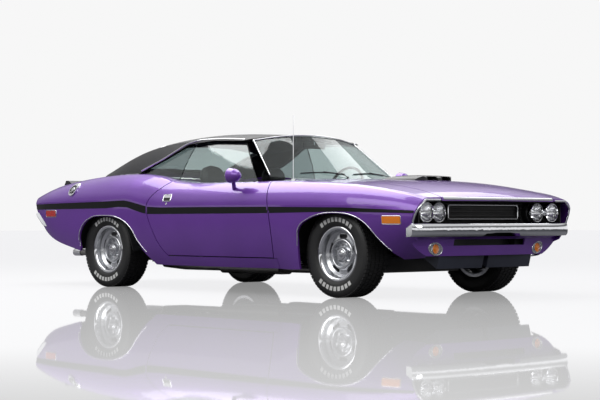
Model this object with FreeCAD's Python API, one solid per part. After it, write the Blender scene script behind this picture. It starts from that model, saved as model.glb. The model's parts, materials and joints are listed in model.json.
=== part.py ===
"""Two-door hardtop muscle car with a vinyl roof, as an assembly of its real panels and running gear.

Frame: +X forward, +Y to the car's left, +Z up, millimetres. The origin is on the floor, under the middle
of the car's length and width. Each named piece goes to parts/NAME.step.
"""

import FreeCAD
import Part
import math
import os

V = FreeCAD.Vector

# %% Overall sizes
overall_length = 4860.0
overall_width = 1933.0
roof_height = 1293.0
wheelbase = 2794.0
front_overhang = 866.0
front_track = 1516.0
rear_track = 1542.0

half_length = overall_length / 2
half_width = overall_width / 2
front_axle_x = half_length - front_overhang
rear_axle_x = front_axle_x - wheelbase

# %% Wheels
tyre_diameter = 646.0
tyre_width = 228.0
rim_diameter = 406.0
rim_width = 186.0
hub_radius = 110.0
wheel_slots = 5
tyre_radius = tyre_diameter / 2
rim_radius = rim_diameter / 2

# %% Walls and gaps
panel_wall = 18.0
door_wall = 110.0
roof_wall = 32.0
glass_wall = 6.0
floor_wall = 14.0
shut_gap = 8.0
seat_gap = 0.3
seam = 3.0
overrun = 60.0


# %% Helpers
def smooth(table, x):
    """Height of the smooth curve through a table of (x, value) pairs, without overshoot."""
    points = sorted(table)
    if x <= points[0][0]:
        return points[0][1]
    if x >= points[-1][0]:
        return points[-1][1]
    runs = [b[0] - a[0] for a, b in zip(points, points[1:])]
    rises = [(b[1] - a[1]) / h for a, b, h in zip(points, points[1:], runs)]
    slopes = [rises[0]]
    for i in range(1, len(rises)):
        before, after = rises[i - 1], rises[i]
        if before * after <= 0:
            slopes.append(0.0)
        else:
            w1 = 2 * runs[i] + runs[i - 1]
            w2 = runs[i] + 2 * runs[i - 1]
            slopes.append((w1 + w2) / (w1 / before + w2 / after))
    slopes.append(rises[-1])
    i = max(k for k in range(len(runs)) if x >= points[k][0])
    t = (x - points[i][0]) / runs[i]
    a, b = points[i][1], points[i + 1][1]
    return (
        a * (2 * t**3 - 3 * t**2 + 1)
        + b * (3 * t**2 - 2 * t**3)
        + slopes[i] * runs[i] * (t**3 - 2 * t**2 + t)
        + slopes[i + 1] * runs[i] * (t**3 - t**2)
    )


def spline(points):
    """One smooth edge through points, or a straight one through two."""
    if len(points) == 2:
        return Part.LineSegment(points[0], points[1]).toShape()
    curve = Part.BSplineCurve()
    curve.interpolate(points)
    return curve.toShape()


def ring(*runs):
    """Closed wire of smooth runs, each starting where the one before ends."""
    edges = [spline(run) for run in runs]
    ends = list(zip(runs, runs[1:] + runs[:1]))
    edges += [spline([a[-1], b[0]]) for a, b in ends if (a[-1] - b[0]).Length > shut_gap / 1000]
    return Part.Wire(Part.__sortEdges__(edges))


def box(x0, x1, y0, y1, z0, z1):
    return Part.makeBox(x1 - x0, y1 - y0, z1 - z0, V(x0, y0, z0))


def loft(wires, ruled=False):
    return Part.makeLoft(wires, True, ruled)


def prism(wire, along):
    """Solid swept from a closed wire along a vector."""
    return Part.Face(wire).extrude(along)


def side_prism(points, y0, y1):
    """Straight-sided outline of (x, z) points swept across from y0 to y1."""
    corners = [V(x, y0, z) for x, z in points]
    return prism(Part.makePolygon(corners + corners[:1]), V(0, y1 - y0, 0))


def plan_prism(points, z0, z1):
    """Straight-sided outline of (x, y) points swept up from z0 to z1."""
    corners = [V(x, y, z0) for x, y in points]
    return prism(Part.makePolygon(corners + corners[:1]), V(0, 0, z1 - z0))


def front_prism(points, x0, x1):
    """Straight-sided outline of (y, z) points swept along from x0 to x1."""
    corners = [V(x0, y, z) for y, z in points]
    return prism(Part.makePolygon(corners + corners[:1]), V(x1 - x0, 0, 0))


def rod(radius, start, end):
    return Part.makeCylinder(radius, (end - start).Length, start, end - start)


def turned(points, place, axis):
    """Solid of revolution of an outline of (along, radius) points about an axis line through place."""
    side = V(0, 0, 1) if abs(axis.z) < abs(axis.y) + abs(axis.x) else V(1, 0, 0)
    corners = [place + axis * a + side * r for a, r in points]
    return Part.Face(Part.makePolygon(corners + corners[:1])).revolve(place, axis, 360)


def mirrored(shape):
    return shape.mirror(V(0, 0, 0), V(0, 1, 0))


def pair(shape):
    """The piece on the left and its mirror image on the right, as one shape of two solids."""
    return Part.makeCompound([shape, mirrored(shape)])


def joined(shapes):
    """Pieces fused to one, with the seams between them taken out."""
    return shapes[0].multiFuse(shapes[1:]).removeSplitter()


def placed(shares, *sizes):
    """Points of a table of shares, scaled by the sizes that they follow."""
    return [tuple(share * size for share, size in zip(row, sizes)) for row in shares]


# %% Body lines, as shares of the half length, half width and roof height
belly_height_shares = (
    (-1.0, 0.50), (-0.93, 0.445), (-0.885, 0.385), (-0.82, 0.318), (-0.74, 0.278), (-0.65, 0.243), (-0.5, 0.20),
    (-0.3, 0.168), (-0.2, 0.158), (0.1, 0.157), (0.38, 0.157), (0.5, 0.158), (0.62, 0.18), (0.78, 0.212),
    (0.87, 0.225), (0.95, 0.24), (1.0, 0.26),
)
crease_height_shares = (
    (-1.0, 0.553), (-0.86, 0.562), (-0.46, 0.574), (-0.36, 0.580), (-0.325, 0.571), (-0.27, 0.548),
    (-0.22, 0.535), (-0.15, 0.532), (0.38, 0.532), (0.70, 0.526), (1.0, 0.503),
)
crease_width_shares = (
    (-1.0, 0.87), (-0.93, 0.928), (-0.80, 0.972), (-0.60, 0.996), (-0.5, 1.0), (-0.35, 0.992), (-0.15, 0.982),
    (0.1, 0.980), (0.35, 0.982), (0.55, 0.985), (0.65, 0.985), (0.80, 0.965), (0.90, 0.935), (0.96, 0.905),
    (1.0, 0.88),
)
shoulder_height_shares = (
    (-1.0, 0.585), (-0.93, 0.625), (-0.87, 0.655), (-0.75, 0.690), (-0.65, 0.710), (-0.55, 0.724), (-0.45, 0.732),
    (-0.37, 0.732), (-0.31, 0.727), (-0.26, 0.718), (-0.22, 0.706), (-0.17, 0.688), (-0.1, 0.672), (0.0, 0.664),
    (0.2, 0.664), (0.35, 0.664), (0.5, 0.658), (0.65, 0.646), (0.74, 0.632), (0.84, 0.608), (0.92, 0.583),
    (0.96, 0.566), (1.0, 0.545),
)
shoulder_width_shares = (
    (-1.0, 0.79), (-0.93, 0.815), (-0.8, 0.838), (-0.65, 0.845), (-0.5, 0.845), (-0.4, 0.845), (-0.31, 0.850),
    (-0.2, 0.862), (0.0, 0.872), (0.35, 0.880), (0.5, 0.888), (0.65, 0.893), (0.84, 0.880), (0.92, 0.86),
    (0.96, 0.84), (1.0, 0.82),
)
spine_height_shares = (
    (-1.0, 0.652), (-0.97, 0.664), (-0.9, 0.690), (-0.8, 0.713), (-0.65, 0.733), (-0.5, 0.742), (-0.3, 0.738),
    (0.0, 0.705), (0.35, 0.696), (0.45, 0.694), (0.6, 0.686), (0.77, 0.672), (0.84, 0.657), (0.912, 0.632),
    (0.95, 0.610), (0.98, 0.585), (1.0, 0.56),
)
tuck_shares = (
    (-1.0, 0.4), (-0.60, 0.35), (-0.50, 0.45), (-0.38, 1.0), (0.42, 1.0), (0.52, 0.4), (0.74, 0.40),
    (0.80, 1.5), (0.87, 2.6), (0.95, 3.6), (1.0, 3.8),
)
station_shares = (
    -0.985, -0.95, -0.91, -0.86, -0.80, -0.72, -0.62, -0.52, -0.44, -0.38, -0.34, -0.30, -0.26, -0.22, -0.17,
    -0.1, 0.0, 0.12, 0.25, 0.38, 0.5, 0.6, 0.7, 0.79, 0.87, 0.92, 0.96, 0.995,
)

# Bulge of the side below and above the crease, and the rounded shoulder
sill_inset = 78.0
rocker_inset = 26.0
rocker_rise_share = 0.30
flank_inset = 3.0
flank_rise_share = 0.66
haunch_rise_share = 0.55
haunch_inset_share = 0.30
shoulder_roll_width = 62.0
shoulder_roll_height = 14.0
roll_width_share = 0.5
roll_rise_share = 0.8


def body_line(table, x, scale):
    return smooth(table, x / half_length) * scale


def crown_height(x, y):
    """Height of the hood, roof base and deck surface over a place between the shoulders."""
    y_roll = body_line(shoulder_width_shares, x, half_width) - shoulder_roll_width
    z_roll = body_line(shoulder_height_shares, x, roof_height) + shoulder_roll_height
    z_spine = body_line(spine_height_shares, x, roof_height)
    return z_spine - (z_spine - z_roll) * (y / y_roll) ** 2


def side_runs(x, inset, drop, y_end):
    """Smooth runs of the body's left side at x from sill to y_end on the crown, drawn in by inset and drop."""
    z_belly = body_line(belly_height_shares, x, roof_height)
    z_crease = body_line(crease_height_shares, x, roof_height)
    y_crease = body_line(crease_width_shares, x, half_width) - inset
    z_shoulder = body_line(shoulder_height_shares, x, roof_height)
    y_shoulder = body_line(shoulder_width_shares, x, half_width) - inset
    flank = z_crease - z_belly
    haunch = z_shoulder - drop - z_crease
    lean = y_crease - y_shoulder
    tuck = smooth(tuck_shares, x / half_length)
    lower = [
        V(x, y_crease - sill_inset * tuck, z_belly),
        V(x, y_crease - rocker_inset * tuck, z_belly + rocker_rise_share * flank),
        V(x, y_crease - flank_inset, z_belly + flank_rise_share * flank),
        V(x, y_crease, z_crease),
    ]
    upper = [
        V(x, y_crease, z_crease),
        V(x, y_crease - haunch_inset_share * lean, z_crease + haunch_rise_share * haunch),
        V(x, y_shoulder, z_shoulder - drop),
    ]
    y_roll = body_line(shoulder_width_shares, x, half_width) - shoulder_roll_width
    z_roll = z_shoulder + shoulder_roll_height - drop
    roll = [
        V(x, y_shoulder, z_shoulder - drop),
        V(x, y_shoulder + (y_roll - y_shoulder) * roll_width_share,
          z_shoulder - drop + shoulder_roll_height * roll_rise_share),
        V(x, y_roll, z_roll),
    ]
    steps = 3
    crown = [V(x, y_roll + (y_end - y_roll) * k / steps, crown_height(x, y_roll + (y_end - y_roll) * k / steps) - drop)
             for k in range(steps + 1)]
    return lower, upper, roll, crown


def side_wall(outer_inset, inner_inset, drop, y_end):
    """Wall of the body's left side, between two insets, with its top as far in as y_end(x)."""
    wires = []
    for share in station_shares:
        x = share * half_length
        outer = side_runs(x, outer_inset, outer_inset, y_end(x))
        inner = side_runs(x, inner_inset, drop, y_end(x))
        back = [list(reversed(run)) for run in reversed(inner)]
        wires.append(ring(*outer, *back))
    return loft(wires)


def door_block(outer_inset, inner_inset):
    """Left side of the body between two insets, as thick at its top as at its flank."""
    wires = []
    for share in station_shares:
        x = share * half_length
        lower, upper, roll, crown = side_runs(x, outer_inset, 0, 0)
        y_in = upper[-1].y + outer_inset - inner_inset
        z_in = crown_height(x, y_in)
        shelf = [roll[-1], V(x, y_in, z_in)]
        inner = side_runs(x, inner_inset, 0, 0)
        wires.append(ring(lower, upper, roll, shelf, [V(x, y_in, z_in), inner[1][-1]],
                          list(reversed(inner[1])), list(reversed(inner[0]))))
    return loft(wires)


def crown_wall(drop, y_reach):
    """Wall of the body's top, drop thick, from y_reach on the right to y_reach on the left."""
    wires = []
    steps = 8
    for share in station_shares:
        x = share * half_length
        ys = [y_reach * (2 * k / steps - 1) for k in range(steps + 1)]
        top = [V(x, y, crown_height(x, y)) for y in ys]
        under = [V(x, y, crown_height(x, y) - drop) for y in reversed(ys)]
        wires.append(ring(top, under))
    return loft(wires)


# %% Nose and tail, bowed in plan and leaning in profile
nose_profile_shares = (
    (-0.90, 0.90), (0.9775, 0.90), (0.9775, 0.60), (0.9875, 0.578), (0.9945, 0.545), (0.9945, 0.515), (0.978, 0.44),
    (0.966, 0.33), (0.955, 0.24), (0.945, 0.10), (-0.90, 0.10),
)
tail_profile_shares = (
    (0.90, 0.90), (-0.972, 0.90), (-0.972, 0.668), (-0.985, 0.655), (-0.985, 0.60), (-0.975, 0.52),
    (-0.955, 0.46), (-0.93, 0.40), (-0.90, 0.34), (-0.85, 0.10), (0.90, 0.10),
)
nose_bow_shares = ((0.0, 0.0), (0.42, 0.002), (0.75, 0.010), (0.90, 0.018), (1.05, 0.035))
tail_bow_shares = ((0.0, 0.0), (0.42, 0.003), (0.72, 0.012), (0.88, 0.034), (1.05, 0.085))


def end_block(profile_shares, bow_shares, sign, inset):
    """Volume behind a bowed end of the car, set in by inset."""
    wires = []
    widths = [(-side, bow) for side, bow in reversed(bow_shares[1:])] + list(bow_shares)
    for width, bow in widths:
        y = width * half_width
        points = []
        for along, up in profile_shares:
            moved = along * sign > 0
            x = along * half_length - sign * (bow * half_length + inset if moved else 0)
            points.append(V(x, y, up * roof_height))
        wires.append(Part.makePolygon(points + points[:1]))
    return loft(wires)


nose_block = end_block(nose_profile_shares, nose_bow_shares, 1, 0)
tail_block = end_block(tail_profile_shares, tail_bow_shares, -1, 0)

# %% Door outline, as shares of the half length and roof height, seen from the side
door_rear_shares = (
    (-0.167, 0.74), (-0.1745, 0.699), (-0.207, 0.633), (-0.2395, 0.571), (-0.2486, 0.527), (-0.243, 0.468),
    (-0.221, 0.382), (-0.195, 0.297), (-0.158, 0.222),
)
door_front_shares = ((0.397, 0.222), (0.396, 0.35), (0.385, 0.477), (0.372, 0.60), (0.3575, 0.74))
door_front_skew = 120.0
door_rear_skew = 70.0
door_outer_y = half_width + overrun
door_inner_y = door_outer_y - 330.0
hinge_x = 0.318 * half_length
hinge_y = 920.0
hinge_pin_radius = 9.0
hinge_arm_half = 10.0
hinge_arm_half_height = 20.0
hinge_pocket_half_height = 30.0
hinge_pocket_gap = 11.0
hinge_heights = (480.0, 700.0)
post_outer_y = 730.0
post_inner_y = 696.0
post_rise = 24.0
post_half = 30.0


def grown(points, gap):
    """Corners of a closed outline moved outward by gap, square to its sides."""
    count = len(points)
    area = sum(points[i][0] * points[(i + 1) % count][1] - points[(i + 1) % count][0] * points[i][1]
               for i in range(count))
    sign = 1 if area > 0 else -1
    moved = []
    for i in range(count):
        (ax, ay), (bx, by), (cx, cy) = points[i - 1], points[i], points[(i + 1) % count]
        ux, uy = bx - ax, by - ay
        vx, vy = cx - bx, cy - by
        un, vn = math.hypot(ux, uy), math.hypot(vx, vy)
        nx1, ny1 = sign * uy / un, -sign * ux / un
        nx2, ny2 = sign * vy / vn, -sign * vx / vn
        scale = gap / (1 + nx1 * nx2 + ny1 * ny2)
        moved.append((bx + (nx1 + nx2) * scale, by + (ny1 + ny2) * scale))
    return moved


def door_volume(gap):
    """Volume that holds the left door, grown by gap, wider at its outer face."""
    rear = placed(door_rear_shares, half_length, roof_height)
    front = placed(door_front_shares, half_length, roof_height)
    outline = grown(rear + front, gap)
    count = len(rear)
    wires = []
    for y, rear_shift, front_shift in ((door_outer_y, 0, 0), (door_inner_y, door_rear_skew, -door_front_skew)):
        back = [V(x + rear_shift, y, z) for x, z in outline[:count]]
        fore = [V(x + front_shift, y, z) for x, z in outline[count:]]
        wires.append(ring(back, fore))
    return loft(wires, True)


door_hole = door_volume(shut_gap)
door_body = door_volume(0)

# %% Hood and deck lid outlines in plan
hood_rear_x = 0.358 * half_length
hood_rear_half_width = 700.0
hood_front_half_width = 622.0
lid_front_x = -0.636 * half_length
lid_rear_x = -0.972 * half_length
lid_front_half_width = 655.0
lid_rear_half_width = 610.0
hood_wall = 22.0
scoop_rear_x = 0.565 * half_length
scoop_front_x = 0.745 * half_length
scoop_half_width = 196.0
scoop_front_round = 120.0
scoop_rear_round = 70.0
scoop_gap = 12.0


def scoop_block(gap):
    """Upright block of the scoop's rounded plan, grown by gap."""
    block = box(scoop_rear_x - gap, scoop_front_x + gap, -scoop_half_width - gap, scoop_half_width + gap,
                0, roof_height)
    for place, radius in ((scoop_front_x + gap, scoop_front_round), (scoop_rear_x - gap, scoop_rear_round)):
        corners = [edge for edge in block.Edges
                   if edge.BoundBox.ZLength > roof_height / 2 and abs(edge.BoundBox.XMin - place) < seam]
        block = block.makeFillet(radius + gap, corners)
    return block


def hood_plan(gap):
    return plan_prism(
        grown([(hood_rear_x, -hood_rear_half_width), (half_length, -hood_front_half_width),
               (half_length, hood_front_half_width), (hood_rear_x, hood_rear_half_width)], gap), 0, roof_height)


def lid_plan(gap):
    return plan_prism(
        grown([(lid_rear_x, -lid_rear_half_width), (lid_front_x, -lid_front_half_width),
               (lid_front_x, lid_front_half_width), (lid_rear_x, lid_rear_half_width)], gap), 0, roof_height)


# %% Wheel arches, as shares of the half length and roof height
front_arch_shares = (
    (0.505, 0.0), (0.507, 0.328), (0.513, 0.398), (0.557, 0.449), (0.61, 0.475), (0.679, 0.481), (0.743, 0.466),
    (0.793, 0.4215), (0.834, 0.333), (0.867, 0.236), (0.90, 0.0),
)
rear_arch_shares = (
    (-0.70, 0.0), (-0.627, 0.261), (-0.63, 0.336), (-0.6085, 0.402), (-0.561, 0.4525), (-0.478, 0.4687),
    (-0.397, 0.4525), (-0.3345, 0.391), (-0.301, 0.308), (-0.24, 0.188), (-0.15, 0.0),
)


def arch(shares, y0, y1):
    """Volume of a wheel opening, with its curved top, from y0 out to y1."""
    points = placed(shares, half_length, roof_height)
    curve = [V(x, y0, z) for x, z in points[1:-1]]
    ends = [V(x, y0, z) for x, z in (points[0], points[-1])]
    return prism(ring(curve, [curve[-1], ends[1]], [ends[1], ends[0]]), V(0, y1 - y0, 0))


arch_inner_y = 0.60 * half_width
front_arch = arch(front_arch_shares, arch_inner_y, half_width + overrun)
rear_arch = arch(rear_arch_shares, arch_inner_y, half_width + overrun)

# %% Greenhouse lines, as shares of the half length, half width and roof height
roof_crown_shares = (
    (-0.66, 0.745), (-0.617, 0.781), (-0.535, 0.847), (-0.453, 0.909), (-0.35, 0.965), (-0.247, 0.990),
    (-0.115, 1.0), (0.0, 0.994), (0.124, 0.976), (0.155, 0.968), (0.30, 0.93),
)
roof_rail_shares = (
    (-0.66, 0.730), (-0.617, 0.757), (-0.535, 0.815), (-0.453, 0.866), (-0.35, 0.910), (-0.247, 0.934),
    (-0.115, 0.948), (0.0, 0.948), (0.124, 0.936), (0.155, 0.930), (0.30, 0.90),
)
roof_rail_width_shares = (
    (-0.66, 0.675), (-0.55, 0.665), (-0.45, 0.66), (-0.3, 0.662), (-0.1, 0.667), (0.05, 0.664), (0.155, 0.666), (0.30, 0.69),
)
roof_belt_width_shares = (
    (-0.66, 0.770), (-0.55, 0.775), (-0.4, 0.795), (-0.3, 0.815), (-0.2, 0.832), (0.155, 0.850), (0.30, 0.855),
)
roof_station_shares = (-0.66, -0.617, -0.575, -0.535, -0.453, -0.35, -0.247, -0.115, 0.0, 0.08, 0.155, 0.23, 0.30)
roof_base_share = 0.655
rail_rise_share = 0.90
rail_swell = 16.0
brow_width_share = 0.62
brow_rise_share = 0.72


def roof_runs(x, inset):
    """Smooth runs of the greenhouse at x from its left base over the crown to its right base."""
    z_crown = body_line(roof_crown_shares, x, roof_height) - inset
    z_rail = body_line(roof_rail_shares, x, roof_height) - inset
    y_rail = body_line(roof_rail_width_shares, x, half_width) - inset
    y_belt = body_line(roof_belt_width_shares, x, half_width) - inset
    z_base = roof_base_share * roof_height
    z_brow = z_rail + (z_crown - z_rail) * brow_rise_share
    side = [
        V(x, y_belt, z_base),
        V(x, (y_belt + y_rail) / 2 + rail_swell, (z_base + z_rail) / 2),
        V(x, y_rail, z_rail),
    ]
    top = [
        V(x, y_rail, z_rail),
        V(x, y_rail * brow_width_share, z_brow),
        V(x, 0, z_crown),
        V(x, -y_rail * brow_width_share, z_brow),
        V(x, -y_rail, z_rail),
    ]
    other = [V(p.x, -p.y, p.z) for p in reversed(side)]
    return side, top, other


def roof_layer(outer_inset, inner_inset):
    """Shell of the greenhouse between two insets."""
    wires = []
    for share in roof_station_shares:
        x = share * half_length
        outer = roof_runs(x, outer_inset)
        inner = roof_runs(x, inner_inset)
        back = [list(reversed(run)) for run in reversed(inner)]
        wires.append(ring(*outer, *back))
    return loft(wires)


window_shares = (
    (0.30, 0.60), (0.115, 0.9335), (-0.04, 0.9435), (-0.16, 0.9265), (-0.271, 0.834), (-0.39, 0.754),
    (-0.41, 0.60),
)
glass_split_shares = ((-0.132, 0.96), (-0.1635, 0.60))
backlight_shares = (
    (-0.365, 0.56), (-0.59, 0.60), (-0.59, -0.60), (-0.365, -0.56),
)
screen_foot = (V(0.262 * half_length, 0.712 * half_width, 0.713 * roof_height),
               V(0.325 * half_length, 0, 0.700 * roof_height))
screen_head = (V(0.124 * half_length, 0.584 * half_width, 0.936 * roof_height),
               V(0.153 * half_length, 0, 0.976 * roof_height))


def screen_layer(front, back, low_reach, high_reach):
    """Slab along the windshield's curved surface, front and back measured forward from it."""
    rise = screen_head[0] - screen_foot[0]
    rows = []
    for reach, (corner, middle) in ((-low_reach, screen_foot), (high_reach, screen_head)):
        run = V(front, 0, 0) + rise * (reach / rise.Length)
        a = corner + run
        m = middle + run
        bow = V((a.x + 3 * m.x) / 4, a.y / 2, (a.z + 3 * m.z) / 4)
        rows.append(spline([a, bow, m, V(bow.x, -bow.y, bow.z), V(a.x, -a.y, a.z)]))
    return Part.makeRuledSurface(*rows).extrude(V(back - front, 0, 0))


pieces = {}


def keep(name, shape):
    pieces[name] = shape


def largest(shape):
    return max(shape.Solids, key=lambda solid: solid.Volume)


# %% Front fenders, each with its top flange and nose
fender_top_edge_y = 0.55 * half_width
fender_rear_x = 0.30 * half_length
fender_flange_x = 0.48 * half_length
fender_skin = side_wall(0, panel_wall, panel_wall, lambda x: fender_top_edge_y)
cowl_half_width = 0.805 * half_width
cowl_front_x = hood_rear_x - shut_gap + seat_gap
cowl_rear_x = 0.255 * half_length
sill_top_z = door_rear_shares[-1][1] * roof_height - shut_gap
sill_front_x = 0.3985 * half_length
fender_side_zone = plan_prism(
    [(fender_flange_x, 0), (half_length + overrun, 0), (half_length + overrun, half_width + overrun),
     (fender_rear_x, half_width + overrun), (fender_rear_x, cowl_half_width + seam),
     (cowl_front_x, cowl_half_width + seam), (cowl_front_x, hood_rear_half_width),
     (fender_flange_x, hood_rear_half_width)], 0, roof_height)
front_cavity_top = 0.553 * roof_height
front_cavity_half_width = 0.826 * half_width
front_cavity_back_x = 0.925 * half_length
front_cavity = box(front_cavity_back_x, half_length + overrun, -front_cavity_half_width,
                   front_cavity_half_width, 0, front_cavity_top)
left_fender = fender_skin.common(nose_block).common(fender_side_zone)
left_fender = left_fender.cut(door_hole).cut(front_arch).cut(hood_plan(shut_gap)).cut(front_cavity)
left_fender = left_fender.cut(box(0, sill_front_x + seam, 0, half_width + overrun, 0, sill_top_z + seam))
left_fender = largest(left_fender)

# %% Quarter panels with the sills, joined by the panel in front of the deck lid
cabin_plan_shares = (
    (0.60, -0.79), (0.60, 0.79), (-0.30, 0.77), (-0.50, 0.70), (-0.612, 0.60), (-0.612, -0.60),
    (-0.50, -0.70), (-0.30, -0.77),
)
cabin_plan = plan_prism(placed(cabin_plan_shares, half_length, half_width), 0, roof_height)
quarter_skin = side_wall(0, panel_wall, panel_wall, lambda x: 0)
quarter_front_x = -0.14 * half_length
quarter_side = box(-half_length, quarter_front_x, 0, half_width + overrun, 0, roof_height)
sill_zone = box(quarter_front_x - overrun, sill_front_x, 0, half_width, 0, sill_top_z)
left_quarter = quarter_skin.common(tail_block)
left_quarter = left_quarter.common(quarter_side.fuse(sill_zone))
left_quarter = left_quarter.cut(door_hole).cut(rear_arch).cut(lid_plan(shut_gap)).cut(cabin_plan)
left_quarter = largest(left_quarter)
keep("quarter_panels", left_quarter.fuse(mirrored(left_quarter)).removeSplitter())

# %% Hood with the hole for the scoop
hood = crown_wall(hood_wall, hood_rear_half_width)
hood = hood.common(hood_plan(0)).common(nose_block)
keep("hood", largest(hood.cut(scoop_block(scoop_gap))))

# %% Cowl panel under the windshield, eased where the opened hood turns past it
cowl = crown_wall(panel_wall, cowl_half_width)
cowl = cowl.common(box(cowl_rear_x, cowl_front_x, -half_width, half_width, 0, roof_height))
cowl = cowl.cut(door_hole).cut(mirrored(door_hole))
hood_pin_radius = 4.0
hood_pin_x = hood_rear_x - seat_gap - hood_pin_radius
hood_pin_z = 0.6883 * roof_height
hood_pin_y = 250.0
hood_pin_length = 80.0
hood_pin = rod(hood_pin_radius, V(hood_pin_x, hood_pin_y, hood_pin_z),
               V(hood_pin_x, hood_pin_y + hood_pin_length, hood_pin_z))
hood_edge_depth = 60.0
hood_turns = (20.0, 27.0, 34.0, 41.0, 48.0, 55.0)
hood_turn_clearance = 2.0
hood_edge = pieces["hood"].common(box(hood_rear_x - hood_edge_depth, hood_rear_x + hood_edge_depth,
                                      -half_width, half_width, 0, roof_height))
for turn in hood_turns:
    lifted = hood_edge.copy()
    lifted.rotate(V(hood_pin_x, 0, hood_pin_z), V(0, -1, 0), turn)
    lifted.translate(V(-hood_turn_clearance, 0, 0))
    cowl = cowl.cut(lifted)
cowl = joined([largest(cowl), hood_pin, mirrored(hood_pin)])
keep("cowl", cowl)

# %% Deck lid and its spoiler
lid = crown_wall(hood_wall, lid_front_half_width).common(lid_plan(0)).common(tail_block)
keep("deck_lid", largest(lid))
spoiler_shares = ((-0.84, 0.66), (-0.926, 0.673), (-0.911, 0.717), (-0.895, 0.717))
spoiler = side_prism(placed(spoiler_shares, half_length, roof_height), -lid_rear_half_width, lid_rear_half_width)
spoiler = spoiler.cut(crown_wall(overrun * 3, lid_front_half_width))
keep("rear_spoiler", largest(spoiler))

# %% Roof with its pillars, cut for the windshield, side glass and backlight
window_hole = side_prism(placed(window_shares, half_length, roof_height), -half_width, half_width)
backlight_plan = plan_prism(placed(backlight_shares, half_length, half_width), 0.5 * roof_height, 1.1 * roof_height)
screen_cut = screen_layer(-glass_wall, half_length / 4, overrun * 5, overrun * 5)
pillar_depth = 46.0
pillar_foot_z = 0.66 * roof_height


def body_volume(inset):
    """The lower body filled from side to side, set in by inset."""
    wires = []
    for share in station_shares:
        x = share * half_length
        left = side_runs(x, inset, inset, 0)
        right = [[V(p.x, -p.y, p.z) for p in reversed(run)] for run in reversed(left)]
        wires.append(ring(*left, *right))
    return loft(wires)


lower_body = body_volume(0)
pillar_foot = (V(0.2695 * half_length, 0.782 * half_width, 0.698 * roof_height),
               V(0.262 * half_length, 0.705 * half_width, 0.712 * roof_height))
pillar_head = (V(0.113 * half_length, 0.684 * half_width, 0.929 * roof_height),
               V(0.123 * half_length, 0.578 * half_width, 0.938 * roof_height))
pillar_reach = 1.16
pillar_inner_y = 14.0


def screen_pillar():
    """Left windshield pillar, a tapered bar from the cowl to the roof's front corner."""
    wires = []
    for share in (-pillar_reach + 1, 1.02):
        outer, inner = (foot + (head - foot) * share for foot, head in zip(pillar_foot, pillar_head))
        corners = [outer, inner, inner - V(pillar_depth, -pillar_inner_y / 2, 0),
                   outer - V(pillar_depth, pillar_inner_y, 0)]
        wires.append(Part.makePolygon(corners + corners[:1]))
    return loft(wires, True)


front_corner_shares = ((0.30, 0.60), (0.115, 0.9335), (0.124, 0.95), (0.124, 1.1), (0.5, 1.1), (0.5, 0.60))
front_corner_y = 0.575 * half_width
front_corner = side_prism(placed(front_corner_shares, half_length, roof_height), front_corner_y, half_width)
roof = roof_layer(0, roof_wall).cut(window_hole).cut(screen_cut).cut(backlight_plan)
roof_rear_x = lid_front_x + 2 * shut_gap
roof = roof.cut(box(-half_length, roof_rear_x, -half_width, half_width, 0, roof_height))
roof = largest(roof.cut(front_corner).cut(mirrored(front_corner)))
left_pillar = screen_pillar()
roof = roof.multiFuse([left_pillar, mirrored(left_pillar)]).cut(lower_body)
keep("roof", largest(roof).removeSplitter())

# %% Fixed glass: windshield, backlight and the rear quarter windows
glass_gap = 6.0
screen_foot_reach = 16.0
screen_glass = screen_layer(-glass_wall, 0, screen_foot_reach, 0).cut(roof).cut(pieces["cowl"])
backlight_zone = plan_prism(grown(placed(backlight_shares, half_length, half_width), -seat_gap),
                            0.5 * roof_height, 1.1 * roof_height)
glass_inset = 12.0
backlight = roof_layer(glass_inset, glass_inset + glass_wall).common(backlight_zone).cut(lower_body)
side_inset = 20.0
side_glass = roof_layer(side_inset, side_inset + glass_wall)
side_glass = side_glass.common(side_prism(grown(placed(window_shares, half_length, roof_height), -glass_gap),
                                          0, half_width))
split_line = placed(glass_split_shares, half_length, roof_height)
split_gap = 4.0
rear_side = side_prism([(split_line[0][0] - split_gap, split_line[0][1]), (split_line[1][0] - split_gap, split_line[1][1]),
                        (-half_length, 0), (-half_length, roof_height)], 0, half_width)
front_side = side_prism([(split_line[0][0] + split_gap, split_line[0][1]), (split_line[1][0] + split_gap, split_line[1][1]),
                         (half_length, 0), (half_length, roof_height)], 0, half_width)
quarter_glass = largest(side_glass.common(rear_side).cut(lower_body))
keep("fixed_glass", Part.makeCompound([largest(screen_glass), largest(backlight), quarter_glass,
                                       mirrored(quarter_glass)]))

# %% Doors and their frameless glass
door_skin = door_block(0, door_wall)
left_door = door_skin.common(door_body)
for z in hinge_heights:
    left_door = left_door.cut(box(hinge_x - hinge_arm_half - shut_gap, half_length, 0, hinge_y + hinge_pocket_gap,
                                  z - hinge_pocket_half_height, z + hinge_pocket_half_height))
left_door = largest(left_door)
swing_turns = (3.0, 6.0, 9.0, 12.0, 15.0)
swing_clearance = 5.0
for turn in swing_turns:
    swung = left_door.copy()
    swung.rotate(V(hinge_x, hinge_y, 0), V(0, 0, -1), turn)
    swung.translate(V(swing_clearance, 0, 0))
    left_fender = left_fender.cut(swung)
keep("front_fenders", pair(largest(left_fender)))
keep("door_left", left_door)
keep("door_right", mirrored(left_door))
left_glass = largest(side_glass.common(front_side).cut(lower_body))
keep("door_glass_left", left_glass)
keep("door_glass_right", mirrored(left_glass))

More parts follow.
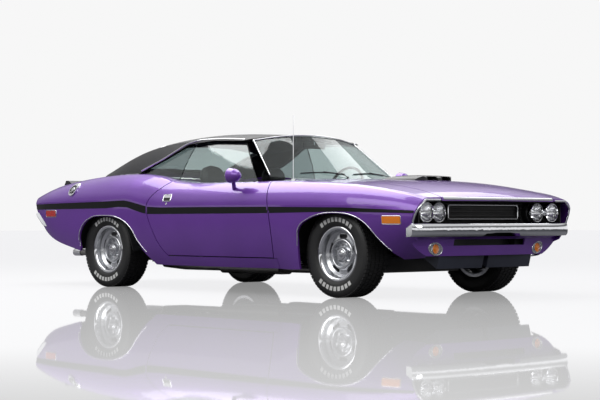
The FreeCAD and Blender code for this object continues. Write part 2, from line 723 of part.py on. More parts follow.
# %% Nose: grille cavity, headlamps, bumper, valance and chin spoilers
lamp_radius = 73.0
lamp_depth = 90.0
outer_lamp_share = (0.9415, 0.728, 0.487)
inner_lamp_share = (0.932, 0.571, 0.486)
cavity_wall = 8.0
cavity_back = 0.905 * half_length
cavity_low = 0.405 * roof_height
cavity_half = front_cavity_half_width - seat_gap
tub = box(cavity_back, 0.958 * half_length, -cavity_half, cavity_half, cavity_low, front_cavity_top - seat_gap)
tub = tub.cut(box(cavity_back + cavity_wall, half_length, -cavity_half + cavity_wall, cavity_half - cavity_wall,
                  cavity_low + cavity_wall, front_cavity_top - cavity_wall))
inset_half_width = 0.411 * half_width
inset_low = 0.445 * roof_height
inset_high = 0.533 * roof_height
inset_bar = 12.0
inset_depth = 24.0
inset_front_x = 0.922 * half_length
grille_ring = box(inset_front_x - inset_depth, inset_front_x, -inset_half_width, inset_half_width, inset_low, inset_high)
grille_ring = grille_ring.cut(box(0, half_length, -inset_half_width + inset_bar, inset_half_width - inset_bar,
                                  inset_low + inset_bar, inset_high - inset_bar))
bar_count = 11
bar_wall = 4.0
bars = []
for k in range(bar_count):
    z = inset_low + (inset_high - inset_low) * (k + 1) / (bar_count + 1)
    bars.append(box(cavity_back + cavity_wall, inset_front_x - inset_depth / 2, -inset_half_width, inset_half_width,
                    z - bar_wall / 2, z + bar_wall / 2))
lamp_cups = []
lamps = []
for share in (outer_lamp_share, inner_lamp_share):
    centre = V(share[0] * half_length, share[1] * half_width, share[2] * roof_height)
    back = V(cavity_back + cavity_wall, centre.y, centre.z)
    cup = rod(lamp_radius + cavity_wall, back, centre + V(-cavity_wall, 0, 0))
    lamp = turned([(0, 0), (0, lamp_radius), (lamp_depth * 0.6, lamp_radius), (lamp_depth * 0.85, lamp_radius * 0.8),
                   (lamp_depth, 0)], V(centre.x - lamp_depth * 0.6, centre.y, centre.z), V(1, 0, 0))
    lamp_cups += [cup, mirrored(cup)]
    lamps += [lamp, mirrored(lamp)]
grille = joined([tub, grille_ring] + bars + lamp_cups)
for lamp in lamps:
    grille = grille.cut(lamp)
keep("grille", largest(grille))
keep("headlamps", Part.makeCompound(lamps))

front_bumper_shares = (
    (0.0, 1.0, 1.0), (0.42, 0.998, 1.0), (0.75, 0.988, 0.95), (0.85, 0.976, 0.8), (0.905, 0.962, 0.6),
)
blade_shares = ((1.0, 0.0), (0.86, 0.75), (0.5, 1.0), (0.14, 0.75), (0.0, 0.0))


def bumper(plan_shares, sign, low_z, high_z, depth, bulge, lean_shares):
    """Blade bumper that follows a bowed plan, with a rounded face that leans in towards its foot."""
    rows = [(-side, along, deep) for side, along, deep in reversed(plan_shares[1:])] + list(plan_shares)
    wires = []
    for side, along, deep in rows:
        y = side * half_width
        lean = smooth(lean_shares, abs(side)) * depth
        face = []
        for up, swell in blade_shares:
            x = along * half_length - bulge * (1 - swell) - lean * (1 - up)
            face.append(V(sign * x, y, low_z + (high_z - low_z) * up))
        behind = [V(p.x - sign * depth * deep, y, p.z) for p in (face[-1], face[0])]
        wires.append(ring(face, [face[-1], behind[0]], behind, [behind[1], face[0]]))
    return loft(wires)


bumper_depth = 62.0
bumper_bulge = 20.0
upright_lean_shares = ((0.0, 0.0), (1.0, 0.0))
front_bumper = bumper(front_bumper_shares, 1, 0.352 * roof_height, 0.427 * roof_height, bumper_depth,
                      bumper_bulge, upright_lean_shares)
notch_shares = ((-0.250, 0.34), (0.250, 0.34), (0.181, 0.372), (-0.181, 0.372))
bumper_notch = front_prism(placed(notch_shares, half_width, roof_height), 0, half_length)
front_bumper = front_bumper.cut(pieces["front_fenders"]).cut(pieces["grille"]).cut(bumper_notch)
keep("front_bumper", largest(front_bumper))

# %% Valance, parking lamps and chin spoilers below the bumper
valance_profile_shares = ((0.970, 0.350), (0.9555, 0.337), (0.951, 0.300), (0.9475, 0.243), (0.930, 0.243))
valance_half_width = 0.84 * half_width
valance_wall = 14.0
valance_bow = 60.0
slot_half_width = 0.41 * half_width
slot_low = 0.300 * roof_height
slot_high = 0.336 * roof_height


def valance_volume(inset):
    rows = []
    for side in (-0.86, -0.6, -0.3, 0.0, 0.3, 0.6, 0.86):
        bow = valance_bow * (side / 0.86) ** 2
        points = placed(valance_profile_shares, half_length, roof_height)
        face = [V(x - bow - inset, side * half_width, z) for x, z in points[:-1]]
        back_x = front_cavity_back_x - overrun - inset / valance_wall
        rows.append(Part.makePolygon(face + [V(back_x, side * half_width, face[-1].z),
                                             V(back_x, side * half_width, face[0].z), face[0]]))
    return loft(rows)


valance = valance_volume(0).common(lower_body)
valance = valance.cut(valance_volume(valance_wall).common(body_volume(valance_wall)))
valance_front = box(front_cavity_back_x, half_length, -half_width, half_width, 0, roof_height)
valance = valance.common(valance_front)
valance = valance.cut(box(0, half_length, -slot_half_width, slot_half_width, slot_low, slot_high))
valance = valance.cut(front_bumper).cut(pieces["front_fenders"]).cut(pieces["grille"])
park_share = (0.9335, 0.591, 0.283)
park_radius = 34.0
park_depth = 40.0
park_lamps = []
for side in (1, -1):
    y = side * park_share[1] * half_width
    lamp = rod(park_radius, V(park_share[0] * half_length - park_depth, y, park_share[2] * roof_height),
               V(park_share[0] * half_length, y, park_share[2] * roof_height))
    hole = rod(park_radius, V(0, y, park_share[2] * roof_height), V(half_length, y, park_share[2] * roof_height))
    park_lamps.append(lamp)
    valance = valance.cut(hole)
keep("front_valance", largest(valance))
marker_height = 50.0
front_marker_x = (0.860 * half_length, 0.924 * half_length)
marker_z = 0.444 * roof_height
marker_deep = 6.0


def side_marker(x0, x1, z):
    """Lens that stands a little proud of the flank."""
    block = box(x0, x1, 0, half_width, z - marker_height / 2, z + marker_height / 2)
    skin = side_wall(-marker_deep, 0, 0, lambda x: fender_top_edge_y)
    return largest(skin.common(block))


amber_left = side_marker(*front_marker_x, marker_z)
amber_left = largest(amber_left.cut(front_bumper))
keep("amber_lamps", Part.makeCompound(park_lamps + [amber_left, mirrored(amber_left)]))
chin_shares = ((0.868, 0.232), (0.9235, 0.171), (0.934, 0.248), (0.927, 0.254))
chin_inner_y = 25.0
chin_outer_y = 518.0
chin = side_prism(placed(chin_shares, half_length, roof_height), chin_inner_y, chin_outer_y)
chin = largest(chin.cut(pieces["front_valance"]))
keep("chin_spoilers", pair(chin))

# %% Tail panel, lamps and rear bumper
tail_wall = 16.0
tail_half_width = 0.80 * half_width
tail_zone = box(-half_length, -0.90 * half_length, -tail_half_width, tail_half_width, 0.34 * roof_height,
                0.640 * roof_height)
tail_core_block = end_block(tail_profile_shares, tail_bow_shares, -1, tail_wall)
tail_panel = tail_block.cut(tail_core_block).common(tail_zone)
lamp_low = 0.520 * roof_height
lamp_high = 0.610 * roof_height
lamp_half_width = 0.74 * half_width
lamp_frame = 10.0
lamp_zone = box(-half_length, -0.90 * half_length, -lamp_half_width, lamp_half_width, lamp_low, lamp_high)
tail_lamp = tail_panel.common(lamp_zone)
tail_panel = tail_panel.cut(lamp_zone).cut(pieces["quarter_panels"])
keep("tail_panel", largest(tail_panel))
rear_marker_x = (-0.849 * half_length, -0.781 * half_length)
rear_marker_z = 0.486 * roof_height
red_left = side_marker(*rear_marker_x, rear_marker_z)
tail_lamp = largest(tail_lamp.cut(pieces["quarter_panels"]))
keep("red_lamps", Part.makeCompound([tail_lamp, red_left, mirrored(red_left)]))
rear_bumper_shares = (
    (0.0, 1.0, 1.0), (0.42, 0.998, 1.0), (0.75, 0.985, 0.9), (0.90, 0.950, 0.75), (0.945, 0.925, 0.6),
)
rear_lean_shares = ((0.0, 0.6), (0.42, 0.7), (0.75, 1.1), (0.90, 1.9), (0.95, 2.1))
rear_bumper = bumper(rear_bumper_shares, -1, 0.400 * roof_height, 0.492 * roof_height, bumper_depth,
                     bumper_bulge, rear_lean_shares)
rear_reach = rear_bumper.optimalBoundingBox(False).XMin
rear_bumper.translate(V(-half_length - rear_reach, 0, 0))
rear_bumper = rear_bumper.cut(pieces["quarter_panels"]).cut(pieces["tail_panel"])
plate_bolt_spacing = 178.0
plate_bolt_radius = 3.5
plate_bolt_z = 0.458 * roof_height
for side in (1, -1):
    rear_bumper = rear_bumper.cut(rod(plate_bolt_radius, V(-half_length - overrun, side * plate_bolt_spacing / 2, plate_bolt_z),
                                      V(-half_length + 2 * overrun, side * plate_bolt_spacing / 2, plate_bolt_z)))
keep("rear_bumper", largest(rear_bumper))

# %% Filler cap on the right quarter, antenna on the right fender, mirrors
cap_radius = 55.0
cap_height = 9.0
cap_share = (-0.687, 0.649)
cap_block = rod(cap_radius, V(cap_share[0] * half_length, -half_width, cap_share[1] * roof_height),
                V(cap_share[0] * half_length, 0, cap_share[1] * roof_height))
cap = mirrored(side_wall(-cap_height, 0, 0, lambda x: 0)).common(cap_block)
keep("fuel_cap", largest(cap))
antenna_share = (0.424, 0.828)
antenna_base_radius = 16.0
antenna_base_height = 18.0
antenna_radius = 2.5
antenna_top = 1.061 * roof_height
antenna_x = antenna_share[0] * half_length
antenna_y = -antenna_share[1] * half_width
antenna = joined([
    rod(antenna_base_radius, V(antenna_x, antenna_y, 0.6 * roof_height),
        V(antenna_x, antenna_y, crown_height(antenna_x, antenna_y) + antenna_base_height)),
    rod(antenna_radius, V(antenna_x, antenna_y, 0.6 * roof_height), V(antenna_x, antenna_y, antenna_top)),
])
keep("antenna", largest(antenna.cut(lower_body)))

# %% Running gear places
hub_z = tyre_radius
front_wheel_y = front_track / 2
rear_wheel_y = rear_track / 2
mount_offset = 7.0
kingpin_y = 700.0
steer_arm = 80.0
link_z = 232.0
drum_radius = 140.0
spindle_radius = 32.0
upright_radius = 22.0
arm_end_radius = 20.0
upright_low_z = 246.0
upright_high_z = 432.0
ball_radius = 24.0


# %% Wheels and tyres
tyre_sides = 60
bead_overhang = 1.0
barrel_drop = 16.0
barrel_radius = rim_radius - barrel_drop
bead_radius = rim_radius / math.cos(math.pi / tyre_sides) + seat_gap
tyre_wall_shares = ((0.60, 1.0), (0.84, 0.984), (0.97, 0.925), (1.00, 0.78), (0.97, 0.68))


def faceted(outline, sides, centre, axis, start):
    """Ring of flat facets: an outline of (along, radius) points turned about an axis in equal steps."""
    turn = axis.cross(start)
    rings = []
    for k in range(sides):
        angle = 2 * math.pi * k / sides
        out = start * math.cos(angle) + turn * math.sin(angle)
        rings.append([centre + axis * along + out * radius for along, radius in outline])
    faces = []
    for here, there in zip(rings, rings[1:] + rings[:1]):
        for k in range(len(outline)):
            corners = [here[k - 1], here[k], there[k], there[k - 1]]
            faces.append(Part.Face(Part.makePolygon(corners + corners[:1])))
    shell = Part.makeShell(faces)
    shell.sewShape()
    solid = Part.makeSolid(Part.Shell(shell.Faces))
    return solid if solid.Volume > 0 else solid.reversed()


def tyre(x, y):
    """Tyre centred on y, with its lowest edge on the floor."""
    wall = placed(tyre_wall_shares, tyre_width / 2, tyre_radius)
    wall.append((rim_width / 2 + bead_overhang, bead_radius))
    outline = wall + [(-across, radius) for across, radius in reversed(wall)]
    return faceted(outline, tyre_sides, V(x, y, hub_z), V(0, 1, 0), V(0, 0, -1))


rim_wall = 8.0
disc_wall = 12.0
slot_radius = 131.0
slot_length = 84.0
slot_width = 32.0
cap_outer_radius = 46.0
cap_depth = 34.0
cap_edge = 10.0
disc_inner_radius = 82.0
ridge_shares = ((1.08, 0.86), (1.10, 0.90), (1.10, 0.97), (1.0, 1.02), (0.45, 1.07), (0.40, 1.37), (0.9, 1.55))
ridge_height = 30.0
lip_wall = 12.0


def wheel(x, y, side):
    """Slotted disc wheel with its rim and centre cap; side points outward."""
    half = rim_width / 2
    seat = mount_offset
    face = seat + disc_wall
    inner_radius = barrel_radius - rim_wall
    ridge = [(face + along * ridge_height, radius * hub_radius) for along, radius in ridge_shares]
    outline = [
        (-half, rim_radius), (-half, inner_radius), (seat, inner_radius), (seat, 0), (face + cap_depth, 0),
        (face + cap_depth, cap_outer_radius - cap_edge), (face + cap_depth - cap_edge, cap_outer_radius),
        (face, cap_outer_radius), (face, disc_inner_radius),
        *ridge, (half - rim_wall, inner_radius), (half, rim_radius - lip_wall), (half, rim_radius),
        (half - rim_wall, rim_radius), (half - rim_wall, barrel_radius), (-half + rim_wall, barrel_radius),
        (-half + rim_wall, rim_radius),
    ]
    centre = V(x, y, hub_z)
    solid = turned([(a * side, r) for a, r in outline], centre, V(0, 1, 0))
    through = V(0, side * rim_width, 0)
    for k in range(wheel_slots):
        angle = 2 * math.pi * (k + 0.25) / wheel_slots
        out = V(math.cos(angle), 0, math.sin(angle))
        across = V(-math.sin(angle), 0, math.cos(angle))
        reach = across * (slot_length - slot_width) / 2
        middle = centre + out * slot_radius - through / 2
        a, b = middle + reach, middle - reach
        rise = out * slot_width / 2
        corners = [a + rise, b + rise, b - rise, a - rise]
        slot = prism(Part.makePolygon(corners + corners[:1]), through)
        solid = solid.cut(slot.multiFuse([rod(slot_width / 2, p, p + through) for p in (a, b)]))
    return largest(solid)


for name, x, y in (("front", front_axle_x, front_wheel_y), ("rear", rear_axle_x, rear_wheel_y)):
    keep("tyre_" + name + "_left", tyre(x, y))
    keep("tyre_" + name + "_right", tyre(x, -y))
    keep("wheel_" + name + "_left", wheel(x, y, 1))
    keep("wheel_" + name + "_right", wheel(x, -y, -1))

# %% Knuckles with their brake drums and steering arms
front_mount_y = front_wheel_y + mount_offset - seat_gap
drum_face_y = 728.0
drum_bond = 8.0
steer_arm_wall = 18.0
steer_arm_half = 15.0
upright = rod(upright_radius, V(front_axle_x, kingpin_y, upright_low_z), V(front_axle_x, kingpin_y, upright_high_z))
knuckle = joined([
    rod(drum_radius, V(front_axle_x, drum_face_y, hub_z), V(front_axle_x, front_mount_y, hub_z)),
    rod(spindle_radius, V(front_axle_x, kingpin_y, hub_z), V(front_axle_x, drum_face_y + drum_bond, hub_z)),
    upright,
    box(front_axle_x - steer_arm, front_axle_x, kingpin_y - steer_arm_half, kingpin_y + steer_arm_half,
        upright_low_z, upright_low_z + steer_arm_wall),
    rod(steer_arm_half, V(front_axle_x - steer_arm, kingpin_y, upright_low_z),
        V(front_axle_x - steer_arm, kingpin_y, upright_low_z + steer_arm_wall)),
])
keep("knuckle_left", knuckle)
keep("knuckle_right", mirrored(knuckle))
link_radius = 11.0
link_pin_radius = 13.0
link_x = front_axle_x - steer_arm
link_top = upright_low_z - seat_gap
link_axis_z = link_top - link_radius - link_pin_radius
link_low = link_axis_z - link_pin_radius
link = joined([
    rod(link_radius, V(link_x, -kingpin_y, link_axis_z), V(link_x, kingpin_y, link_axis_z)),
    rod(link_pin_radius, V(link_x, kingpin_y, link_low), V(link_x, kingpin_y, link_top)),
    rod(link_pin_radius, V(link_x, -kingpin_y, link_low), V(link_x, -kingpin_y, link_top)),
])
keep("steering_linkage", link)

# %% Front suspension: crossmember and control arms
arm_wall = 20.0
member_half = 58.0
member_low = 176.0
member_high = 292.0
rail_inner_y = 350.0
rail_outer_y = 420.0
rail_low = 345.0
rail_high = 450.0
low_arm_top = upright_low_z - seat_gap
high_arm_low = upright_high_z + seat_gap
low_arm_shares = ((1.0, 0.55), (0.9, 0.62), (0.30, 0.972), (0.14, 0.985))
high_arm_shares = ((1.15, 0.60), (1.1, 0.65), (0.30, 0.972), (0.14, 0.985))


def control_arm(arm_shares, low):
    """Left control arm, narrowing to the round end that carries the knuckle's ball joint."""
    half = placed(arm_shares, member_half, kingpin_y)
    outline = [(front_axle_x + across, y) for across, y in half]
    outline += [(front_axle_x - across, y) for across, y in reversed(half)]
    end = rod(arm_end_radius, V(front_axle_x, kingpin_y, low), V(front_axle_x, kingpin_y, low + arm_wall))
    return joined([plan_prism(outline, low, low + arm_wall), end])


low_arm = control_arm(low_arm_shares, low_arm_top - arm_wall)
high_arm = control_arm(high_arm_shares, high_arm_low)
member = box(front_axle_x - member_half, front_axle_x + member_half, -rail_outer_y, rail_outer_y, member_low, member_high)
post = box(front_axle_x - member_half, front_axle_x + member_half, rail_inner_y, rail_outer_y, member_high, rail_low)
rail_cut = box(0, half_length, 0, rail_outer_y, rail_low, rail_high)
high_arm = largest(high_arm.cut(rail_cut))
suspension = joined([member, post, mirrored(post), low_arm, mirrored(low_arm), high_arm, mirrored(high_arm)])
keep("front_suspension", suspension)

# %% Rear axle with its drums, differential and leaf springs
axle_radius = 38.0
case_radius = 115.0
case_half = 95.0
rear_mount_y = rear_wheel_y + mount_offset - seat_gap
spring_y = 545.0
spring_half_width = 30.0
spring_eye_front_x = rear_axle_x + 500.0
spring_eye_rear_x = rear_axle_x - 800.0
spring_front_z = 262.0
spring_rear_z = 372.0
spring_low_z = 252.0
spring_wall = 20.0
rear_drum_depth = 64.0
pinion_radius = 46.0
pinion_reach = 200.0
spring_seat_half = 50.0
axle_parts = [
    rod(axle_radius, V(rear_axle_x, -rear_mount_y + seam, hub_z), V(rear_axle_x, rear_mount_y - seam, hub_z)),
    Part.makeSphere(case_radius, V(rear_axle_x, 0, hub_z)),
    rod(pinion_radius, V(rear_axle_x, 0, hub_z), V(rear_axle_x + pinion_reach, 0, hub_z)),
]
for side in (1, -1):
    axle_parts.append(rod(drum_radius, V(rear_axle_x, side * (rear_mount_y - rear_drum_depth), hub_z),
                          V(rear_axle_x, side * rear_mount_y, hub_z)))
    top = [V(spring_eye_rear_x, 0, spring_rear_z), V(rear_axle_x, 0, spring_low_z),
           V(spring_eye_front_x, 0, spring_front_z)]
    low = [p - V(0, 0, spring_wall) for p in top]
    face = Part.Face(ring(top, list(reversed(low))))
    face.translate(V(0, side * spring_y - spring_half_width, 0))
    axle_parts.append(face.extrude(V(0, 2 * spring_half_width, 0)))
    axle_parts.append(box(rear_axle_x - spring_seat_half, rear_axle_x + spring_seat_half, side * spring_y - spring_half_width,
                          side * spring_y + spring_half_width, spring_low_z - spring_wall, hub_z))
rear_axle = joined(axle_parts)
keep("rear_axle", rear_axle)

# %% Underbody: floor, tunnel, firewall, rails and trunk floor
floor_z = 226.0
floor_half_width = 0.83 * half_width
fire_x = 1030.0
fire_half_width = 690.0
fire_top = 0.63 * roof_height
heel_x = -700.0
pan_z = 300.0
back_x = -975.0
shelf_floor_z = 474.0
trunk_floor_z = 404.0
trunk_step_x = -1560.0
tub_inner_y = 602.0
tub_seam = 2.0
trunk_rear_x = 0.935 * -half_length
tunnel_half = 160.0
tunnel_top = 430.0
cavity = body_volume(panel_wall + seat_gap)
cavity = cavity.common(end_block(tail_profile_shares, tail_bow_shares, -1, panel_wall + seat_gap))
rear_floor_y = tub_inner_y - tub_seam
floor = joined([
    box(heel_x, fire_x, -floor_half_width, floor_half_width, floor_z, floor_z + floor_wall),
    box(heel_x, fire_x, -tunnel_half, tunnel_half, floor_z, tunnel_top),
    box(fire_x - floor_wall, fire_x, -fire_half_width, fire_half_width, floor_z, fire_top),
    box(heel_x, heel_x + floor_wall, -floor_half_width, floor_half_width, floor_z, pan_z + floor_wall),
])
tunnel_inner_half = tunnel_half - floor_wall
floor = floor.cut(box(heel_x - overrun, fire_x + overrun, -tunnel_inner_half, tunnel_inner_half,
                      0, tunnel_top - floor_wall))
floor = floor.cut(pieces["front_suspension"])
keep("floor_pan", largest(floor))
trunk = joined([
    box(back_x, heel_x, -rear_floor_y, rear_floor_y, pan_z, pan_z + floor_wall),
    box(back_x, heel_x, -tunnel_half, tunnel_half, pan_z, tunnel_top),
    box(back_x, back_x + floor_wall, -rear_floor_y, rear_floor_y, pan_z, shelf_floor_z + floor_wall),
    box(trunk_step_x, back_x, -rear_floor_y, rear_floor_y, shelf_floor_z, shelf_floor_z + floor_wall),
    box(trunk_step_x - floor_wall, trunk_step_x, -rear_floor_y, rear_floor_y, trunk_floor_z,
        shelf_floor_z + floor_wall),
    box(trunk_rear_x, trunk_step_x, -rear_floor_y, rear_floor_y, trunk_floor_z, trunk_floor_z + floor_wall),
])
trunk = trunk.cut(box(back_x - overrun, heel_x + overrun, -tunnel_inner_half, tunnel_inner_half,
                      0, tunnel_top - floor_wall))
keep("trunk_floor", largest(trunk))
sill_depth = 96.0
rail_front_x = 0.925 * half_length
support_x = 0.898 * half_length
support_wall = 12.0
rail = box(fire_x, rail_front_x, rail_inner_y, rail_outer_y, rail_low, rail_high)
support = box(support_x - support_wall, support_x, -rail_outer_y, rail_outer_y, rail_low, 0.60 * roof_height)
frame_rails = joined([support, rail, mirrored(rail)]).cut(pieces["front_suspension"])
keep("frame_rails", frame_rails)
sill_box = side_wall(panel_wall + seat_gap, sill_depth, sill_depth, lambda x: 0.7 * half_width)
sill_box = sill_box.common(box(-0.235 * half_length, 0.46 * half_length, 0, half_width, 0, sill_top_z))
sill_box = largest(sill_box.cut(rear_arch).cut(floor))
keep("sill_boxes", pair(sill_box))
hinge_parts = [box(hinge_x - post_half, hinge_x + post_half, post_inner_y, post_outer_y, floor_z + floor_wall,
                   hinge_heights[-1] + post_rise)]
for z in hinge_heights:
    hinge_parts.append(box(hinge_x - hinge_arm_half, hinge_x + hinge_arm_half, post_inner_y, hinge_y,
                           z - hinge_arm_half_height, z + hinge_arm_half_height))
    hinge_parts.append(rod(hinge_pin_radius, V(hinge_x, hinge_y, z - hinge_pocket_half_height + seat_gap),
                           V(hinge_x, hinge_y, z + hinge_pocket_half_height - seat_gap)))
hinges = joined(hinge_parts)
keep("hinge_posts", pair(hinges))
underbody = Part.makeCompound([floor, trunk, frame_rails, sill_box, mirrored(sill_box), hinges, mirrored(hinges)])

# %% Wheel houses: inner fenders and rear tubs
house_wall = 8.0
house_inner_y = 462.0
house_top = 0.524 * roof_height
house_low = 0.245 * roof_height
house_rear_x = 0.478 * half_length
house_front_x = 0.874 * half_length
front_house = box(house_rear_x - house_wall, house_front_x + house_wall, house_inner_y, half_width,
                  house_low, house_top + house_wall)
front_house = front_house.cut(box(house_rear_x, house_front_x, house_inner_y + house_wall, half_width + overrun,
                                  0, house_top))
front_house = front_house.common(cavity)
apron = box(house_rear_x, house_front_x, house_inner_y, house_inner_y + house_wall, house_top,
            0.60 * roof_height)
front_house = joined([largest(front_house), apron.common(cavity)])
tub_radius = 388.0
rear_tub = rod(tub_radius + house_wall, V(rear_axle_x, tub_inner_y, hub_z), V(rear_axle_x, half_width, hub_z))
rear_tub = rear_tub.cut(rod(tub_radius, V(rear_axle_x, tub_inner_y + house_wall, hub_z),
                            V(rear_axle_x, half_width + overrun, hub_z)))
rear_tub = rear_tub.common(box(-half_length, 0, 0, half_width, house_low, roof_height))
axle_slot = box(rear_axle_x - axle_radius * 2, rear_axle_x + axle_radius * 2, 0, tub_inner_y + 2 * house_wall,
                0, hub_z + axle_radius * 2.4)
rear_tub = rear_tub.common(cavity).cut(axle_slot)
houses = []
for part in (front_house, rear_tub):
    part = largest(part.cut(underbody).cut(rear_axle).cut(suspension))
    houses += [part, mirrored(part)]
keep("wheel_houses", Part.makeCompound(houses))

# %% Engine block and the scoop that stands on it through the hood
engine_rear_x = 0.475 * half_length
engine_front_x = 0.78 * half_length
engine_half_width = 285.0
engine_low = 0.236 * roof_height
engine_top = 0.60 * roof_height
engine_sump_half = 170.0
engine = front_prism([(-engine_sump_half, engine_low), (engine_sump_half, engine_low), (engine_half_width, engine_low + 180),
                      (engine_half_width, engine_top - 60), (engine_half_width - 90, engine_top),
                      (90 - engine_half_width, engine_top), (-engine_half_width, engine_top - 60),
                      (-engine_half_width, engine_low + 180)], engine_rear_x, engine_front_x)
engine = engine.cut(suspension)
keep("engine", largest(engine))
scoop_side_shares = (
    (0.565, 0.60), (0.565, 0.683), (0.585, 0.697), (0.63, 0.707), (0.69, 0.7075), (0.728, 0.702), (0.742, 0.691),
    (0.745, 0.676), (0.745, 0.60),
)
scoop_side = placed(scoop_side_shares, half_length, roof_height)
scoop_roll_shares = ((1.0, 0.67), (0.93, 0.689), (0.72, 0.703), (0.0, 0.709))
scoop_roll = placed(scoop_roll_shares, scoop_half_width, roof_height)
scoop = side_prism(scoop_side, -scoop_half_width, scoop_half_width).common(scoop_block(0))
roll_face = [V(scoop_rear_x - overrun, y, z) for y, z in scoop_roll + [(-y, z) for y, z in reversed(scoop_roll[:-1])]]
roll_foot = [V(scoop_rear_x - overrun, side * scoop_half_width, scoop_side[0][1]) for side in (-1, 1)]
scoop = scoop.common(prism(ring(roll_face, [roll_face[-1], roll_foot[0]], roll_foot, [roll_foot[1], roll_face[0]]),
                           V(scoop_front_x - scoop_rear_x + 2 * overrun, 0, 0)))
nostril_low = 0.676 * roof_height
nostril_high = 0.699 * roof_height
nostril_deep = 90.0
nostril_inner_y = 22.0
nostril_outer_y = scoop_half_width - 66.0
for side in (1, -1):
    y0, y1 = sorted((side * nostril_inner_y, side * nostril_outer_y))
    scoop = scoop.cut(box(scoop_front_x - nostril_deep, scoop_front_x + overrun, y0, y1, nostril_low, nostril_high))
keep("hood_scoop", largest(scoop.cut(pieces["engine"])))

# %% Transmission and propeller shaft, fuel tank, exhaust
bell_radius = 150.0
gearbox_radius = 95.0
shaft_radius = 40.0
bell_rear_x = 0.40 * half_length
gearbox_rear_x = 0.24 * half_length
driveline = joined([
    rod(bell_radius, V(engine_rear_x - seat_gap, 0, 0.30 * roof_height), V(bell_rear_x, 0, 0.30 * roof_height)),
    rod(gearbox_radius, V(bell_rear_x, 0, 0.29 * roof_height), V(gearbox_rear_x, 0, 0.275 * roof_height)),
    rod(shaft_radius, V(gearbox_rear_x + 40, 0, 0.277 * roof_height), V(rear_axle_x + pinion_reach + seat_gap, 0, hub_z)),
])
driveline = driveline.cut(underbody).cut(rear_axle)
keep("driveline", largest(driveline))
tank_shares = ((-0.655, 0.180), (-0.655, 0.3122), (-0.925, 0.3122), (-0.925, 0.230), (-0.89, 0.180))
tank_half_width = 330.0
tank = side_prism(placed(tank_shares, half_length, roof_height), -tank_half_width, tank_half_width)
keep("fuel_tank", largest(tank.cut(underbody)))
pipe_radius = 28.0
muffler_radius = 44.0
muffler_half_width = 84.0
muffler_run_shares = (0.35, 0.72)
hanger_run_share = 0.92
hanger_half = 10.0
route_shares = (
    (0.472, 0.25, 0.22), (0.430, 0.28, 0.138), (-0.30, 0.44, 0.138), (-0.41, 0.44, 0.15), (-0.44, 0.44, 0.25),
    (-0.475, 0.44, 0.320), (-0.555, 0.44, 0.320), (-0.62, 0.46, 0.27), (-0.70, 0.49, 0.215), (-0.925, 0.49, 0.215),
)


def exhaust_side():
    """Left exhaust from the engine to its tip, over the rear axle."""
    points = [V(*p) for p in placed(route_shares, half_length, half_width, roof_height)]
    parts = [rod(pipe_radius, a, b) for a, b in zip(points, points[1:])]
    parts += [Part.makeSphere(pipe_radius, p) for p in points[1:-1]]
    run = points[2] - points[1]
    start, end = [points[1] + run * share for share in muffler_run_shares]
    across = V(0, muffler_half_width - muffler_radius, 0)
    up = V(0, 0, muffler_radius)
    corners = [start + across + up, start - across + up, start - across - up, start + across - up]
    parts.append(prism(Part.makePolygon(corners + corners[:1]), end - start))
    parts += [rod(muffler_radius, start + shift, end + shift) for shift in (across, across * -1)]
    hanger = points[1] + run * hanger_run_share
    parts.append(box(hanger.x - hanger_half, hanger.x + hanger_half, hanger.y - hanger_half, hanger.y + hanger_half,
                     hanger.z, floor_z - seat_gap))
    return largest(joined(parts).cut(underbody).cut(rear_axle).cut(suspension).cut(pieces["engine"]))


left_exhaust = exhaust_side()
keep("exhaust", pair(left_exhaust))

# %% Cabin: dashboard with the steering column, console and seats
dash_shares = ((0.4235, 0.61), (0.35, 0.650), (0.285, 0.650), (0.262, 0.60), (0.262, 0.52), (0.30, 0.455), (0.4235, 0.455))
dash_half_width = 0.705 * half_width
driver_y = 370.0
seat_side_y = 345.0
column_tilt = math.radians(21.0)
column_axis = V(-math.cos(column_tilt), 0, math.sin(column_tilt))
wheel_centre = V(0.168 * half_length, driver_y, 0.640 * roof_height)
column_radius = 26.0
column_length = 300.0
wheel_drop = 62.0
steering_rim_radius = 190.0
steering_tube = 12.0
steering_sides = 36
tube_sides = 8
column_end = wheel_centre - column_axis * wheel_drop
dashboard = side_prism(placed(dash_shares, half_length, roof_height), -dash_half_width, dash_half_width)
dashboard = dashboard.cut(pieces["cowl"]).cut(underbody)
column = rod(column_radius, column_end - column_axis * (column_length + seat_gap), column_end - column_axis * seat_gap)
dashboard = joined([largest(dashboard), column.cut(underbody)])
keep("dashboard", largest(dashboard))


def steering_rim():
    """Steering wheel with its hub and three spokes, square to the column."""
    tube = []
    for k in range(tube_sides):
        angle = 2 * math.pi * k / tube_sides
        tube.append((steering_tube * math.sin(angle), steering_rim_radius + steering_tube * math.cos(angle)))
    rim = faceted(tube, steering_sides, wheel_centre, column_axis, V(0, 1, 0))
    hub = rod(44, wheel_centre - column_axis * (wheel_drop - 30), wheel_centre - column_axis * 4)
    shaft = rod(20, column_end, wheel_centre - column_axis * 20)
    parts = [rim, hub, shaft]
    up = V(math.sin(column_tilt), 0, math.cos(column_tilt))
    for angle in (-0.5, math.pi + 0.5, -math.pi / 2):
        out = V(0, 1, 0) * math.cos(angle) + up * math.sin(angle)
        parts.append(rod(9, wheel_centre - column_axis * 22, wheel_centre + out * steering_rim_radius))
    return joined(parts)


